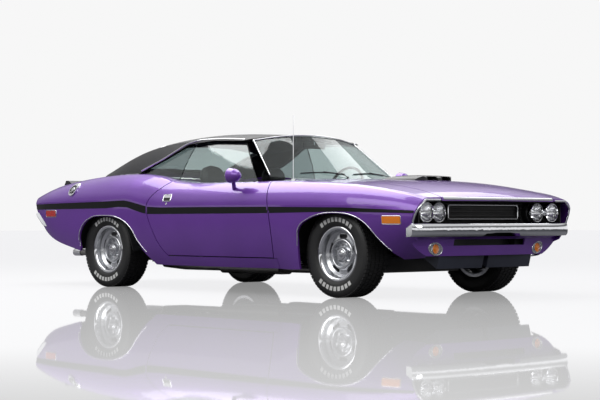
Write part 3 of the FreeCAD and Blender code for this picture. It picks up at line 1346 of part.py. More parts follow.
keep("steering_wheel", steering_rim())
seat_shares = (
    (0.05, 0.172), (0.055, 0.33), (0.045, 0.375), (-0.09, 0.355), (-0.115, 0.45), (-0.155, 0.62), (-0.175, 0.66),
    (-0.165, 0.70), (-0.175, 0.79), (-0.200, 0.80), (-0.213, 0.78), (-0.208, 0.66), (-0.19, 0.50), (-0.175, 0.30), (-0.16, 0.172),
)
seat_half_width = 245.0
seat = side_prism(placed(seat_shares, half_length, roof_height), seat_side_y - seat_half_width,
                  seat_side_y + seat_half_width)
head_half_width = 130.0
shoulder_z = 0.665 * roof_height
for y0, y1 in ((seat_side_y - seat_half_width - 1, seat_side_y - head_half_width),
               (seat_side_y + head_half_width, seat_side_y + seat_half_width + 1)):
    seat = seat.cut(box(-half_length, half_length, y0, y1, shoulder_z, roof_height))
seat = largest(seat.cut(underbody))
keep("front_seats", pair(seat))
bench_shares = (
    (-0.262, 0.172), (-0.262, 0.34), (-0.275, 0.355), (-0.375, 0.325), (-0.425, 0.60), (-0.445, 0.63), (-0.465, 0.62),
    (-0.460, 0.39), (-0.393, 0.37), (-0.393, 0.172),
)
bench_half_width = 560.0
bench = side_prism(placed(bench_shares, half_length, roof_height), -bench_half_width, bench_half_width)
bench = bench.cut(underbody).cut(pieces["quarter_panels"]).cut(pieces["wheel_houses"])
keep("rear_seat", largest(bench))
shelf_wall = 10.0
shelf_rear_x = -0.615 * half_length
shelf_front_x = -0.472 * half_length
shelf_half_width = 0.60 * half_width
shelf_z = 0.615 * roof_height
shelf = joined([
    box(shelf_rear_x, shelf_front_x, -shelf_half_width, shelf_half_width, shelf_z, shelf_z + shelf_wall),
    box(shelf_front_x - shelf_wall, shelf_front_x, -shelf_half_width, shelf_half_width, shelf_floor_z, shelf_z),
    box(shelf_rear_x, shelf_rear_x + shelf_wall, -shelf_half_width, shelf_half_width, shelf_z, 0.76 * roof_height),
])
shelf = shelf.cut(roof).cut(pieces["quarter_panels"]).cut(pieces["rear_seat"]).cut(underbody).cut(lower_body.cut(
    box(-half_length, half_length, -half_width, half_width, 0, 0.70 * roof_height)))
keep("parcel_shelf", largest(shelf))

# %% Door mirrors
mirror_shares = (0.196, 1.055, 0.711)
mirror_foot = (0.168, 0.895)
mirror_length = 120.0
mirror_radius = 58.0


def door_mirror():
    """Bullet-shaped left mirror on its foot, standing on the door."""
    centre = V(mirror_shares[0] * half_length, mirror_shares[1] * half_width - 66, mirror_shares[2] * roof_height)
    shell = turned([(0, 0), (0, mirror_radius), (mirror_length * 0.5, mirror_radius * 0.86),
                    (mirror_length * 0.85, mirror_radius * 0.45), (mirror_length, 0)],
                   centre, V(1, 0, 0))
    foot = rod(16, V(mirror_foot[0] * half_length + 20, mirror_foot[1] * half_width, 0.6 * roof_height),
               V(centre.x + 24, centre.y, centre.z))
    return joined([shell, foot])


left_mirror = largest(door_mirror().cut(door_skin))
keep("mirror_left", left_mirror)
keep("mirror_right", mirrored(left_mirror))

# %% Files
os.makedirs("parts", exist_ok=True)
for name, shape in pieces.items():
    print(name, shape.isValid(), len(shape.Solids), round(shape.Volume))
    shape.exportStep("parts/" + name + ".step")
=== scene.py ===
# %% [markdown]
# # Dressing a muscle car
#
# The imported model holds every panel, wheel and joint at its true size. This lesson gives it its
# looks: paint with depth, a grained vinyl roof, chrome, glass, tyres with tread, and trim.
# The first cell loads the model as a fixed frame.

# %% Load the imported model
import json
import math

import bmesh
import bpy
import numpy as np
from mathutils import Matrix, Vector
from mathutils.bvhtree import BVHTree

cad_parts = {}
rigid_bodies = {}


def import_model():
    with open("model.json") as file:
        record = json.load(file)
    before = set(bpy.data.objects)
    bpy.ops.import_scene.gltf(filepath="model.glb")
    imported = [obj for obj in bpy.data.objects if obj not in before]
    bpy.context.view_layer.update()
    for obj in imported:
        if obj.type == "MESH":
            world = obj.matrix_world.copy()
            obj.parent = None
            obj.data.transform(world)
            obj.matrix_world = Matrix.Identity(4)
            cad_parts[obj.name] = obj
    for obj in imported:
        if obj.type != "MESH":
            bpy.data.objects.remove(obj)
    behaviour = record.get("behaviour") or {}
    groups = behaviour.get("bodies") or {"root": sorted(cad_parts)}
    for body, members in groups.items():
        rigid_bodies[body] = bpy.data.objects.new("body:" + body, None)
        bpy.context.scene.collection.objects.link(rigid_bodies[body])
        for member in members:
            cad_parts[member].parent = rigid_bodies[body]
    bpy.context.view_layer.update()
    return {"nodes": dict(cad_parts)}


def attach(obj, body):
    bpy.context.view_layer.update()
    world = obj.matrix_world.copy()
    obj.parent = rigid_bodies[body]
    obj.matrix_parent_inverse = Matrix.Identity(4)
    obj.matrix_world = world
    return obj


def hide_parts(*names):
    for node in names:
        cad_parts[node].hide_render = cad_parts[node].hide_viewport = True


MM = 0.001
QUARTER = math.pi / 2
SIDES = (("left", 1), ("right", -1))
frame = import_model()
nodes = frame["nodes"]
scene = bpy.context.scene

# %% [markdown]
# ## The studio
#
# A car is photographed in a white room: a pale glossy floor, and large soft lamps overhead.
# The floor is one big plane. The camera sees it as a glowing white mixed with a mirror that
# grows stronger at a grazing view, so the car stands on a reflection of itself.
# The room is the world. The camera sees it white, polished parts mirror walls with a dark belt,
# which gives chrome its contrast, and everything else gets an even soft light.

# %% Nodes, links and aim
def node_tree(owner):
    """Empty shader tree of a material or world, with a helper that adds nodes to it."""
    owner.use_nodes = True
    tree = owner.node_tree
    tree.nodes.clear()

    def add(kind, **values):
        node = tree.nodes.new("ShaderNode" + kind)
        for key, value in values.items():
            socket = key.replace("_", " ")
            if socket in node.inputs:
                node.inputs[socket].default_value = value
            else:
                setattr(node, key, value)
        return node

    return tree, add


def wire(tree, links):
    """Links between nodes, each a row of source, its output, target and its input."""
    for source, out_name, target, in_name in links:
        tree.links.new(source.outputs[out_name], target.inputs[in_name])


def aimed(obj, place, direction):
    """Stand a camera or a lamp at a place, looking along a direction."""
    obj.location = place
    obj.rotation_mode = "QUATERNION"
    obj.rotation_quaternion = direction.to_track_quat("-Z", "Y")
    scene.collection.objects.link(obj)


# %% Camera
EYE = Vector((10.523, -9.578, 0.583))
LOOK = Vector((-0.7315, 0.6818, 0.011))
LENS_MM = 101.99
camera_data = bpy.data.cameras.new("camera")
camera_data.lens = LENS_MM
camera_data.clip_end = 200.0
camera = bpy.data.objects.new("camera", camera_data)
aimed(camera, EYE, LOOK)
scene.camera = camera
scene.view_settings.view_transform = "Standard"

# %% Room: grey of its walls by height, as polished parts mirror them
WALLS = ((0.0, 0.93), (0.075, 0.9), (0.11, 0.15), (0.24, 0.15), (0.43, 0.72), (1.0, 0.6))
world = bpy.data.worlds.new("room")
scene.world = world
tree, add = node_tree(world)
light = add("Background", Color=(0.86, 0.87, 0.9, 1), Strength=0.5)
mirrored = add("Background", Strength=1.0)
white = add("Background", Color=(0.93, 0.93, 0.93, 1), Strength=1.0)
direction, split = add("TexCoord"), add("SeparateXYZ")
walls = add("ValToRGB")
while len(walls.color_ramp.elements) < len(WALLS):
    walls.color_ramp.elements.new(0.5)
for element, (height, grey) in zip(walls.color_ramp.elements, WALLS):
    element.position = height
    element.color = (grey, grey, grey * 1.01, 1)
path, seen = add("LightPath"), add("Math", operation="MAXIMUM")
by_gloss, by_eye = add("MixShader"), add("MixShader")
wire(tree, [
    (direction, "Generated", split, 0), (split, "Z", walls, 0), (walls, 0, mirrored, "Color"),
    (path, "Is Glossy Ray", by_gloss, 0), (light, 0, by_gloss, 1), (mirrored, 0, by_gloss, 2),
    (path, "Is Camera Ray", seen, 0), (path, "Is Transmission Ray", seen, 1),
    (seen, 0, by_eye, 0), (by_gloss, 0, by_eye, 1), (white, 0, by_eye, 2),
    (by_eye, 0, add("OutputWorld"), 0)])

# %% Floor
FLOOR_REACH = 60.0
floor_mesh = bpy.data.meshes.new("floor")
corners = [(x * FLOOR_REACH, y * FLOOR_REACH, 0) for x, y in ((-1, -1), (1, -1), (1, 1), (-1, 1))]
floor_mesh.from_pydata(corners, [], [(0, 1, 2, 3)])
floor = bpy.data.objects.new("floor", floor_mesh)
scene.collection.objects.link(floor)
pale = bpy.data.materials.new("pale_floor")
tree, add = node_tree(pale)
matt = add("BsdfDiffuse", Color=(0.22, 0.22, 0.22, 1))
glow = add("Emission", Color=(1.0, 1.0, 1.0, 1), Strength=0.8)
mirror = add("BsdfGlossy", Color=(0.95, 0.95, 0.96, 1), Roughness=0.02)
bounce = add("BsdfDiffuse", Color=(0.14, 0.14, 0.15, 1))
lit, grazing = add("AddShader"), add("Fresnel", IOR=1.1)
path, seen, mix = (add("LightPath"), add("MixShader"), add("MixShader"))
wire(tree, [
    (matt, 0, lit, 0), (glow, 0, lit, 1),
    (grazing, 0, seen, 0), (lit, 0, seen, 1), (mirror, 0, seen, 2),
    (path, "Is Camera Ray", mix, 0), (bounce, 0, mix, 1), (seen, 0, mix, 2),
    (mix, 0, add("OutputMaterial"), 0)])
floor_mesh.materials.append(pale)

# %% Soft lamps: place, target, size in metres and power in watts
LIGHTS = {
    "ceiling": ((-2.4, 0.0, 5.6), (-0.4, 0.0, 0.0), (6.5, 5.0), 420.0),
    "side_right": ((0.5, -6.8, 4.8), (0.0, 0.0, 0.7), (9.5, 3.2), 270.0),
    "nose": ((8.5, -1.5, 3.6), (1.5, 0.0, 0.5), (2.0, 4.0), 110.0),
    "side_left": ((-1.0, 5.5, 5.6), (0.0, 0.0, 0.7), (8.0, 1.8), 110.0)}
for name, (place, target, size, power) in LIGHTS.items():
    data = bpy.data.lights.new(name, "AREA")
    data.shape = "RECTANGLE"
    data.size, data.size_y = size
    data.energy = power
    aimed(bpy.data.objects.new(name, data), place, Vector(target) - Vector(place))
print("soft lamps:", len(LIGHTS))

# %% [markdown]
# ## Paint and other finishes
#
# Each finish is a small shader. The body colour is a metallic paint: fine flakes that tilt the
# surface a little, a purple that shifts slightly over the body, and a clear coat on top.
# Vinyl, rubber and leather get their grain from cells and noise that drive a bump.
# Patterns are laid out in object coordinates, so they have one size on every piece.

# %% One shader for all finishes
BROAD_LOW, BROAD_HIGH = 0.3, 0.7


def finish(name, color, rough, metal=0.0, grain=None, **values):
    """Principled finish. grain: kind, cell in mm, bump depth, colour change, rough change."""
    material = bpy.data.materials.new(name)
    tree, add = node_tree(material)
    shader = add("BsdfPrincipled", Base_Color=(*color, 1), Metallic=metal,
                 Roughness=rough, **values)
    wire(tree, [(shader, 0, add("OutputMaterial"), 0)])
    if not grain:
        return material
    kind, cell_mm, depth, tint, rough_change = grain
    cell = cell_mm * MM
    place = add("TexCoord")
    if kind == "cells":
        pattern, level = add("TexVoronoi", Scale=1.0 / cell), "Distance"
    elif kind == "flutes":
        pattern = add("TexWave", Scale=0.314 / cell, bands_direction="Y")
        level = "Fac"
    else:
        pattern, level = add("TexNoise", Scale=1.0 / cell, Detail=4.0), 0
    broad = add("TexNoise", Scale=3.0, Detail=3.0)
    wire(tree, [(place, "Object", pattern, "Vector"), (place, "Object", broad, "Vector")])
    if tint:
        ramp = add("ValToRGB")
        low, high = ramp.color_ramp.elements
        low.position, high.position = BROAD_LOW, BROAD_HIGH
        low.color = (*[c * (1 - tint) for c in color], 1)
        high.color = (*[min(1, c * (1 + tint)) for c in color], 1)
        wire(tree, [(broad, 0, ramp, 0), (ramp, 0, shader, "Base Color")])
    if rough_change:
        spread = add("MapRange", From_Min=BROAD_LOW, From_Max=BROAD_HIGH,
                     To_Min=max(0.0, rough - rough_change), To_Max=min(1.0, rough + rough_change))
        wire(tree, [(broad, 0, spread, 0), (spread, 0, shader, "Roughness")])
    if depth:
        bump = add("Bump", Strength=depth, Distance=cell * 0.5)
        wire(tree, [(pattern, level, bump, "Height"), (bump, 0, shader, "Normal")])
    return material


# %% The finishes
PURPLE = (0.15, 0.04, 0.345)
SILVER = (0.86, 0.87, 0.88)
paint = finish("purple_metallic_paint", PURPLE, 0.36, 0.4, ("cells", 0.6, 0.05, 0.06, 0.03),
               Coat_Weight=0.85, Coat_Roughness=0.03)
vinyl = finish("black_grained_vinyl", (0.01, 0.01, 0.012), 0.46, 0.0,
               ("cells", 1.6, 0.35, 0.25, 0.05))
chrome = finish("polished_chrome", (0.8, 0.81, 0.83), 0.07, 1.0, ("noise", 40, 0.0, 0.02, 0.03))
glass = finish("clear_glass", (0.8, 0.9, 0.88), 0.0, Transmission_Weight=1.0, IOR=1.45)
screen_glass = finish("shaded_glass", (0.42, 0.49, 0.49), 0.0, Transmission_Weight=1.0, IOR=1.42)
lamp_glass = finish("lamp_glass", (0.97, 0.97, 0.97), 0.02, Transmission_Weight=1.0, IOR=1.45)
white_lens = finish("white_lens", (0.8, 0.8, 0.78), 0.15, 0.0, ("noise", 20, 0.0, 0.02, 0.03),
                    Transmission_Weight=0.3, Coat_Weight=0.6)
fluted_glass = finish("fluted_lamp_glass", (0.97, 0.97, 0.98), 0.03, 0.0,
                      ("flutes", 7, 0.1, 0.0, 0.0), Transmission_Weight=1.0, IOR=1.45)
reflector = finish("silvered_reflector", SILVER, 0.16, 1.0, ("noise", 20, 0.0, 0.02, 0.04))
mirror_silver = finish("mirror_silver", SILVER, 0.02, 1.0, ("noise", 60, 0.0, 0.01, 0.01))
satin_black = finish("satin_black", (0.012, 0.012, 0.013), 0.38, 0.0, ("noise", 8, 0.03, 0.2, 0.06))
blue_black = finish("blue_black_rubber", (0.03, 0.034, 0.05), 0.34, 0.0,
                    ("noise", 6, 0.06, 0.2, 0.08))
matt_black = finish("matt_black", (0.01, 0.01, 0.011), 0.6, 0.0, ("noise", 3, 0.1, 0.3, 0.08))
chassis_black = finish("chassis_black", (0.016, 0.016, 0.017), 0.5, 0.0,
                       ("noise", 5, 0.15, 0.3, 0.1))
amber = finish("amber_lens", (1.0, 0.26, 0.015), 0.18, 0.0, ("noise", 20, 0.0, 0.05, 0.02),
               Transmission_Weight=0.12, Coat_Weight=0.6)
red = finish("red_lens", (0.5, 0.014, 0.01), 0.16, 0.0, ("noise", 20, 0.0, 0.05, 0.02),
             Transmission_Weight=0.12, Coat_Weight=0.6)
rubber = finish("tyre_rubber", (0.012, 0.012, 0.012), 0.58, 0.0, ("noise", 4, 0.12, 0.25, 0.08))
stripe_film = finish("black_stripe_film", (0.006, 0.006, 0.007), 0.42, 0.0,
                     ("noise", 10, 0.02, 0.15, 0.05), Specular_IOR_Level=0.18)
polished = finish("polished_metal", (0.6, 0.61, 0.63), 0.2, 1.0, ("noise", 30, 0.02, 0.05, 0.05))
raised_white = finish("raised_white_rubber", (0.62, 0.62, 0.6), 0.6, 0.0,
                      ("noise", 4, 0.08, 0.06, 0.05))
argent = finish("argent_wheel_paint", (0.62, 0.63, 0.65), 0.24, 0.92,
                ("noise", 1, 0.04, 0.06, 0.04), Coat_Weight=0.25)
cast = finish("cast_iron", (0.05, 0.05, 0.052), 0.62, 0.5, ("noise", 2, 0.35, 0.3, 0.1))
steel = finish("exhaust_steel", (0.3, 0.29, 0.28), 0.4, 0.9, ("noise", 12, 0.05, 0.25, 0.12))
leather = finish("black_seat_vinyl", (0.014, 0.014, 0.015), 0.44, 0.0,
                 ("cells", 2.2, 0.2, 0.2, 0.05))
dash_finish = finish("dash_black", (0.013, 0.013, 0.014), 0.5, 0.0, ("cells", 1.8, 0.2, 0.2, 0.06))

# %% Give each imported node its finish
node_finish = {
    paint: "front_fenders quarter_panels cowl front_valance door_left door_right hood deck_lid "
           "mirror_left mirror_right",
    vinyl: "roof",
    screen_glass: "fixed_glass",
    glass: "door_glass_left door_glass_right",
    chrome: "front_bumper rear_bumper fuel_cap antenna",
    satin_black: "grille tail_panel rear_spoiler hood_scoop",
    blue_black: "chin_spoilers",
    lamp_glass: "headlamps",
    amber: "amber_lamps",
    red: "red_lamps",
    chassis_black: "front_suspension rear_axle floor_pan trunk_floor frame_rails sill_boxes "
                   "hinge_posts wheel_houses steering_linkage",
    cast: "engine driveline knuckle_left knuckle_right",
    steel: "fuel_tank exhaust",
    leather: "front_seats rear_seat",
    dash_finish: "dashboard parcel_shelf steering_wheel",
    rubber: "tyre_front_left tyre_front_right tyre_rear_left tyre_rear_right",
    argent: "wheel_front_left wheel_front_right wheel_rear_left wheel_rear_right"}
for material, names in node_finish.items():
    for name in names.split():
        mesh = nodes[name].data
        mesh.materials.clear()
        mesh.materials.append(material)
print("finishes:", len(bpy.data.materials))

# %% [markdown]
# ## Tools for thin trim
#
# Most of what makes a car look finished is thin: stripes, mouldings, bezels. They lie on the
# panels, so they are laid there by rays: a ray from outside finds the panel, and the trim is
# built on what it hits. A moulding is one small outline carried along such a path; a lamp ring
# or a tyre is one outline turned about an axle; a stripe is a grid of such hits with a wall.

# %% Meshes and pieces
def mesh_of(name, points, faces, wall=0.0):
    """Mesh of points and faces with doubles merged, a wall if asked, and faces outward."""
    work = bmesh.new()
    corners = [work.verts.new(p) for p in points]
    for face in faces:
        work.faces.new([corners[i] for i in face])
    bmesh.ops.remove_doubles(work, verts=work.verts, dist=0.02 * MM)
    bmesh.ops.recalc_face_normals(work, faces=work.faces)
    if wall:
        bmesh.ops.solidify(work, geom=work.faces[:], thickness=wall)
        bmesh.ops.recalc_face_normals(work, faces=work.faces)
    mesh = bpy.data.meshes.new(name)
    work.to_mesh(mesh)
    work.free()
    return mesh


def merged(name, meshes):
    """One mesh of several."""
    work = bmesh.new()
    for mesh in meshes:
        work.from_mesh(mesh)
        bpy.data.meshes.remove(mesh)
    mesh = bpy.data.meshes.new(name)
    work.to_mesh(mesh)
    work.free()
    return mesh


def piece(name, mesh, material, body, sharp=0.7):
    """A finished mesh in the scene, riding on one body."""
    obj = bpy.data.objects.new(name, mesh)
    scene.collection.objects.link(obj)
    if not mesh.materials:
        mesh.materials.append(material)
    mesh.polygons.foreach_set("use_smooth", [True] * len(mesh.polygons))
    mesh.set_sharp_from_angle(angle=sharp)
    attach(obj, body)
    return obj


def made(start):
    """How many pieces have a name with this start."""
    return sum(obj.name.startswith(start) for obj in scene.objects)


# %% Numbers and outlines
def even(first, last, count):
    """Evenly spaced values from first to last."""
    return [first + (last - first) * k / (count - 1) for k in range(count)]


def table(pairs):
    """Straight-line function through (x, value) pairs."""
    places, values = zip(*sorted(pairs))
    return lambda x: float(np.interp(x, places, values))


def in_mm(*pairs):
    """Outline given in millimetres."""
    return [(a * MM, b * MM) for a, b in pairs]


def half_round(width, height, foot=1.0):
    """Outline of a moulding, in millimetres: flat behind and rounded in front."""
    half = width / 2
    arc = [(half * math.cos(angle), height * math.sin(angle)) for angle in even(0, math.pi, 9)]
    return in_mm(*arc, (-half, -foot), (half, -foot))


def ellipse(half_u, half_v, count):
    """Points round an ellipse."""
    angles = [2 * math.pi * k / count for k in range(count)]
    return [(half_u * math.cos(angle), half_v * math.sin(angle)) for angle in angles]


def rounded(half_u, half_v, radius):
    """Points round a rectangle with rounded corners, in order."""
    points = []
    for k, (u, v) in enumerate(((1, 1), (-1, 1), (-1, -1), (1, -1))):
        points += [(u * (half_u - radius) + radius * math.cos(angle),
                    v * (half_v - radius) + radius * math.sin(angle))
                   for angle in even(k * QUARTER, (k + 1) * QUARTER, 7)]
    return points


def dome(depth, radius, start, wall):
    """Outline of a shallow shell, in millimetres: its front bulges, and it has a wall."""
    front = [(start + depth * (1 - share ** 2), radius * share) for share in even(0, 1, 13)]
    return in_mm(*front, *[(along - wall, out) for along, out in reversed(front)])


# %% Turned shapes and strips
def bands(rings, count, closed):
    """Faces that join each ring of points to the next."""
    faces = []
    for k in range(rings if closed else rings - 1):
        here, there = k * count, (k + 1) % rings * count
        for i in range(count):
            j = (i + 1) % count
            faces.append((here + i, here + j, there + j, there + i))
    return faces


def lathe(name, outline, centre, axis, steps=96):
    """Mesh of a closed outline of (along, radius) points turned about an axis."""
    axis = Vector(axis).normalized()
    start = axis.orthogonal().normalized()
    turn = axis.cross(start)
    points = []
    for cos, sin in ellipse(1, 1, steps):
        out = start * cos + turn * sin
        points += [Vector(centre) + axis * along + out * radius for along, radius in outline]
    return mesh_of(name, points, bands(steps, len(outline), True))


def sweep(name, path, outline, closed=False):
    """Mesh of an outline of (across, out) points along a path of (place, outward) pairs."""
    path = [found for found in path if found]
    points, count, total = [], len(outline), len(path)
    for k, (place, outward) in enumerate(path):
        if closed:
            ahead, behind = path[(k + 1) % total][0], path[k - 1][0]
        else:
            ahead, behind = path[min(k + 1, total - 1)][0], path[max(k - 1, 0)][0]
        along = (ahead - behind).normalized()
        out = (outward - along * outward.dot(along)).normalized()
        across = along.cross(out)
        points += [place + across * a + out * b for a, b in outline]
    faces = bands(total, count, closed)
    if not closed:
        faces += [tuple(range(count)), tuple(range((total - 1) * count, total * count))]
    return mesh_of(name, points, faces)


def turned(name, outline, centre, axis, material, body="root", steps=96, sharp=1.0):
    """Piece of an outline turned about an axis."""
    return piece(name, lathe(name, outline, centre, axis, steps), material, body, sharp)


def strip(name, path, outline, material, body="root", closed=False, sharp=1.0):
    """Piece of an outline carried along a path; rays that met nothing are left out of it."""
    return piece(name, sweep(name, path, outline, closed), material, body, sharp)


def smooth_path(points, steps):
    """Evenly spaced places on a smooth curve through points."""
    curve = bpy.data.curves.new("path", "CURVE")
    curve.dimensions = "3D"
    line = curve.splines.new("BEZIER")
    line.bezier_points.add(len(points) - 1)
    for knot, point in zip(line.bezier_points, points):
        knot.co = point
        knot.handle_left_type = knot.handle_right_type = "AUTO"
    curve.resolution_u = steps
    holder = bpy.data.objects.new("path", curve)
    scene.collection.objects.link(holder)
    graph = bpy.context.evaluated_depsgraph_get()
    mesh = bpy.data.meshes.new_from_object(holder.evaluated_get(graph))
    places = [v.co.copy() for v in mesh.vertices]
    bpy.data.objects.remove(holder)
    bpy.data.meshes.remove(mesh)
    return places


# %% Rays
AHEAD, BEHIND, BESIDE, ABOVE, IN_CABIN = 2.7, -2.8, 1.3, 2.0, 0.3
OUTER_SIDE = 0.45
ray_trees = {}


def hit(node, start, aim):
    """Place and outward direction where a ray first meets a node, or None."""
    if node not in ray_trees:
        mesh = nodes[node].data
        ray_trees[node] = BVHTree.FromPolygons(
            [v.co for v in mesh.vertices], [tuple(p.vertices) for p in mesh.polygons])
    aim = Vector(aim)
    place, out, _, _ = ray_trees[node].ray_cast(Vector(start), aim)
    if place is None:
        return None
    return place, (out if out.dot(aim) < 0 else -out)


def from_front(node, y, z):
    """Hit of a ray from ahead of the car."""
    return hit(node, (AHEAD, y, z), (-1, 0, 0))


def from_behind(node, y, z):
    """Hit of a ray from behind the car."""
    return hit(node, (BEHIND, y, z), (1, 0, 0))


def from_above(node, x, y):
    """Hit of a ray from above."""
    return hit(node, (x, y, ABOVE), (0, 0, -1))


def from_cabin(node, x, z, side):
    """Hit of a ray from the cabin to a side."""
    return hit(node, (x, side * IN_CABIN, z), (0, side, 0))


def side_hit(node, x, z, side):
    """Hit of a ray from beside the car, if it is on the body's side."""
    found = hit(node, (x, side * BESIDE, z), (0, -side, 0))
    return found if found and abs(found[0].y) > OUTER_SIDE else None


# %% Sheets
SHEET_STEP, SHEET_ROWS = 10 * MM, 6


def lifted(found, lift):
    """Place some millimetres over a hit, or None where the ray met nothing."""
    return found and found[0] + found[1] * (lift * MM)


def sheet(name, grid, wall, material, body="root", sharp=0.7):
    """Piece with a wall in mm over a grid of places, without cells that miss a corner."""
    place = {(i, j): spot for i, line in enumerate(grid) for j, spot in enumerate(line)
             if spot is not None}
    cells = [((i, j), (i + 1, j), (i + 1, j + 1), (i, j + 1))
             for i in range(len(grid) - 1) for j in range(len(grid[0]) - 1)]
    cells = [cell for cell in cells if all(corner in place for corner in cell)]
    used = sorted({corner for cell in cells for corner in cell})
    number = {corner: k for k, corner in enumerate(used)}
    faces = [[number[corner] for corner in cell] for cell in cells]
    mesh = mesh_of(name, [place[corner] for corner in used], faces, wall * MM)
    return piece(name, mesh, material, body, sharp)


def side_sheet(name, node, side, x0, x1, low, high, lift, wall, material, body):
    """Piece of thin sheet on the side of a node, between two heights along the car."""
    grid = [[lifted(side_hit(node, x, z, side), lift)
             for z in even(low(x), high(x), SHEET_ROWS + 1)]
            for x in even(x0, x1, max(2, round((x1 - x0) / SHEET_STEP) + 1))]
    return sheet(name, grid, wall, material, body)


print("tools ready")

# %% [markdown]
# ## Tyres
#
# A tyre is a turned shape with two things on it that aren't turned: tread blocks and raised
# bars on the sidewall. The casing is one lathe outline with a real shoulder and bead. The blocks
# repeat around the tread, so Geometry Nodes place them: a ring of points, one block on each,
# turned to face outward. The same small tree later places wheel nuts and dial marks, and
# with a line of points in place of the ring it places the grille's bars.

# %% Geometry Nodes: parts set on points
def scatter_tree(name, points_kind, part_kind, fits):
    """Tree that sets a part on each point. fits: input, its type, the node it goes to, socket."""
    tree = bpy.data.node_groups.new(name, "GeometryNodeTree")
    given, points, part, spread, phase, start, move, real, coat, out = [
        tree.nodes.new(kind) for kind in (
            "NodeGroupInput", points_kind, part_kind, "GeometryNodeInstanceOnPoints",
            "ShaderNodeCombineXYZ", "GeometryNodeTransform", "GeometryNodeTransform",
            "GeometryNodeRealizeInstances", "GeometryNodeSetMaterial", "NodeGroupOutput")]
    targets = {"points": points, "part": part, "phase": phase, "move": move, "coat": coat}
    names = {}
    for label, kind, target, socket in fits + [
            ("Turn", "Vector", "move", "Rotation"), ("Centre", "Vector", "move", "Translation"),
            ("Finish", "Material", "coat", "Material")]:
        names[label] = tree.interface.new_socket(
            name=label, in_out="INPUT", socket_type="NodeSocket" + kind).identifier
        wire(tree, [(given, label, targets[target], socket)])
    tree.interface.new_socket(name="Geometry", in_out="OUTPUT", socket_type="NodeSocketGeometry")
    wire(tree, [
        (points, "Mesh", spread, "Points"), (part, "Mesh", spread, "Instance"),
        (spread, 0, start, "Geometry"), (phase, 0, start, "Rotation"),
        (start, 0, move, "Geometry"), (move, 0, real, 0), (real, 0, coat, "Geometry"),
        (coat, 0, out, 0)])
    if "Phase" in names:
        index, share, angle, turn = [tree.nodes.new(kind) for kind in (
            "GeometryNodeInputIndex", "ShaderNodeMath", "ShaderNodeMath", "ShaderNodeCombineXYZ")]
        share.operation, angle.operation = "DIVIDE", "MULTIPLY"
        angle.inputs[1].default_value = 2 * math.pi
        wire(tree, [(index, 0, share, 0), (given, "Count", share, 1), (share, 0, angle, 0),
                    (angle, 0, turn, "Z"), (turn, 0, spread, "Rotation")])
    return tree, names


def grown(name, tree_and_names, **values):
    """Plain mesh that a Geometry Nodes tree makes from its named values."""
    tree, names = tree_and_names
    seed = bpy.data.objects.new(name, bpy.data.meshes.new(name))
    scene.collection.objects.link(seed)
    modifier = seed.modifiers.new("grow", "NODES")
    modifier.node_group = tree
    for label, value in values.items():
        modifier[names[label.replace("_", " ")]] = value
    graph = bpy.context.evaluated_depsgraph_get()
    mesh = bpy.data.meshes.new_from_object(seed.evaluated_get(graph))
    bpy.data.objects.remove(seed)
    mesh.name = name
    return mesh


def grown_piece(name, tree_and_names, finish, centre, body="root", sharp=0.5, **values):
    """Piece that a tree makes about a centre, in one finish."""
    mesh = grown(name, tree_and_names, Centre=centre, Finish=finish, **values)
    return piece(name, mesh, finish, body, sharp)


ON_RING = [("Count", "Int", "points", "Vertices"), ("Ring Radius", "Float", "points", "Radius"),
           ("Phase", "Float", "phase", "Z")]
block_ring = scatter_tree("ring_of_blocks", "GeometryNodeMeshCircle", "GeometryNodeMeshCube",
                          ON_RING + [("Part Size", "Vector", "part", "Size")])
nut_ring = scatter_tree("ring_of_nuts", "GeometryNodeMeshCircle", "GeometryNodeMeshCylinder",
                        ON_RING + [("Sides", "Int", "part", "Vertices"),
                                   ("Part Radius", "Float", "part", "Radius"),
                                   ("Part Depth", "Float", "part", "Depth")])
bar_row = scatter_tree("row_of_bars", "GeometryNodeMeshLine", "GeometryNodeMeshCube", [
    ("Count", "Int", "points", "Count"), ("Start", "Vector", "points", "Start Location"),
    ("Step", "Vector", "points", "Offset"), ("Part Size", "Vector", "part", "Size")])
print("trees:", [tree.name for tree, _ in (block_ring, nut_ring, bar_row)])

# %% Tyres with tread and raised bars
TYRE_R, TYRE_HALF = 0.323, 0.114
AXLE_X = {"front": 1.564, "rear": -1.23}
TRACK_HALF = {"front": 0.758, "rear": 0.771}
WHEELS = [(f"{end}_{hand}", f"wheel_{end}_{hand}_body", side,
           Vector((AXLE_X[end], side * TRACK_HALF[end], TYRE_R)))
          for end in ("front", "rear") for hand, side in SIDES]
CASING_SHARES = [
    (0.00, 0.98), (0.4, 0.98), (0.66, 0.979), (0.8, 0.975), (0.89, 0.962), (0.955, 0.93),
    (0.982, 0.9), (0.99, 0.894), (0.996, 0.87), (1.000, 0.83), (0.998, 0.79),
    (0.985, 0.745), (0.962, 0.708), (0.958, 0.7), (0.93, 0.676), (0.89, 0.652), (0.845, 0.633)]
casing = [(a * TYRE_HALF, r * TYRE_R) for a, r in CASING_SHARES]
casing_outline = casing + [(-a, r) for a, r in reversed(casing[1:])]
sidewall = table([(r, a) for a, r in casing[3:]])
TREAD_DEPTH, TREAD_SINK, BLOCKS = 6.5 * MM, 1.5 * MM, 64
TREAD_RADIUS = 0.98 * TYRE_R + TREAD_DEPTH / 2 - TREAD_SINK
TREAD_ROWS = (-0.74, -0.37, 0.0, 0.37, 0.74)
BLOCK = (TREAD_DEPTH + 2 * MM, 24 * MM, 33 * MM)
BAR_LOW, BAR_HIGH, BAR_LIFT, BAR_WALL = 0.742 * TYRE_R, 0.842 * TYRE_R, 1.4 * MM, 2.5
BARS, BAR_STEP, BAR_SHARE = 9, math.radians(9.0), 0.66

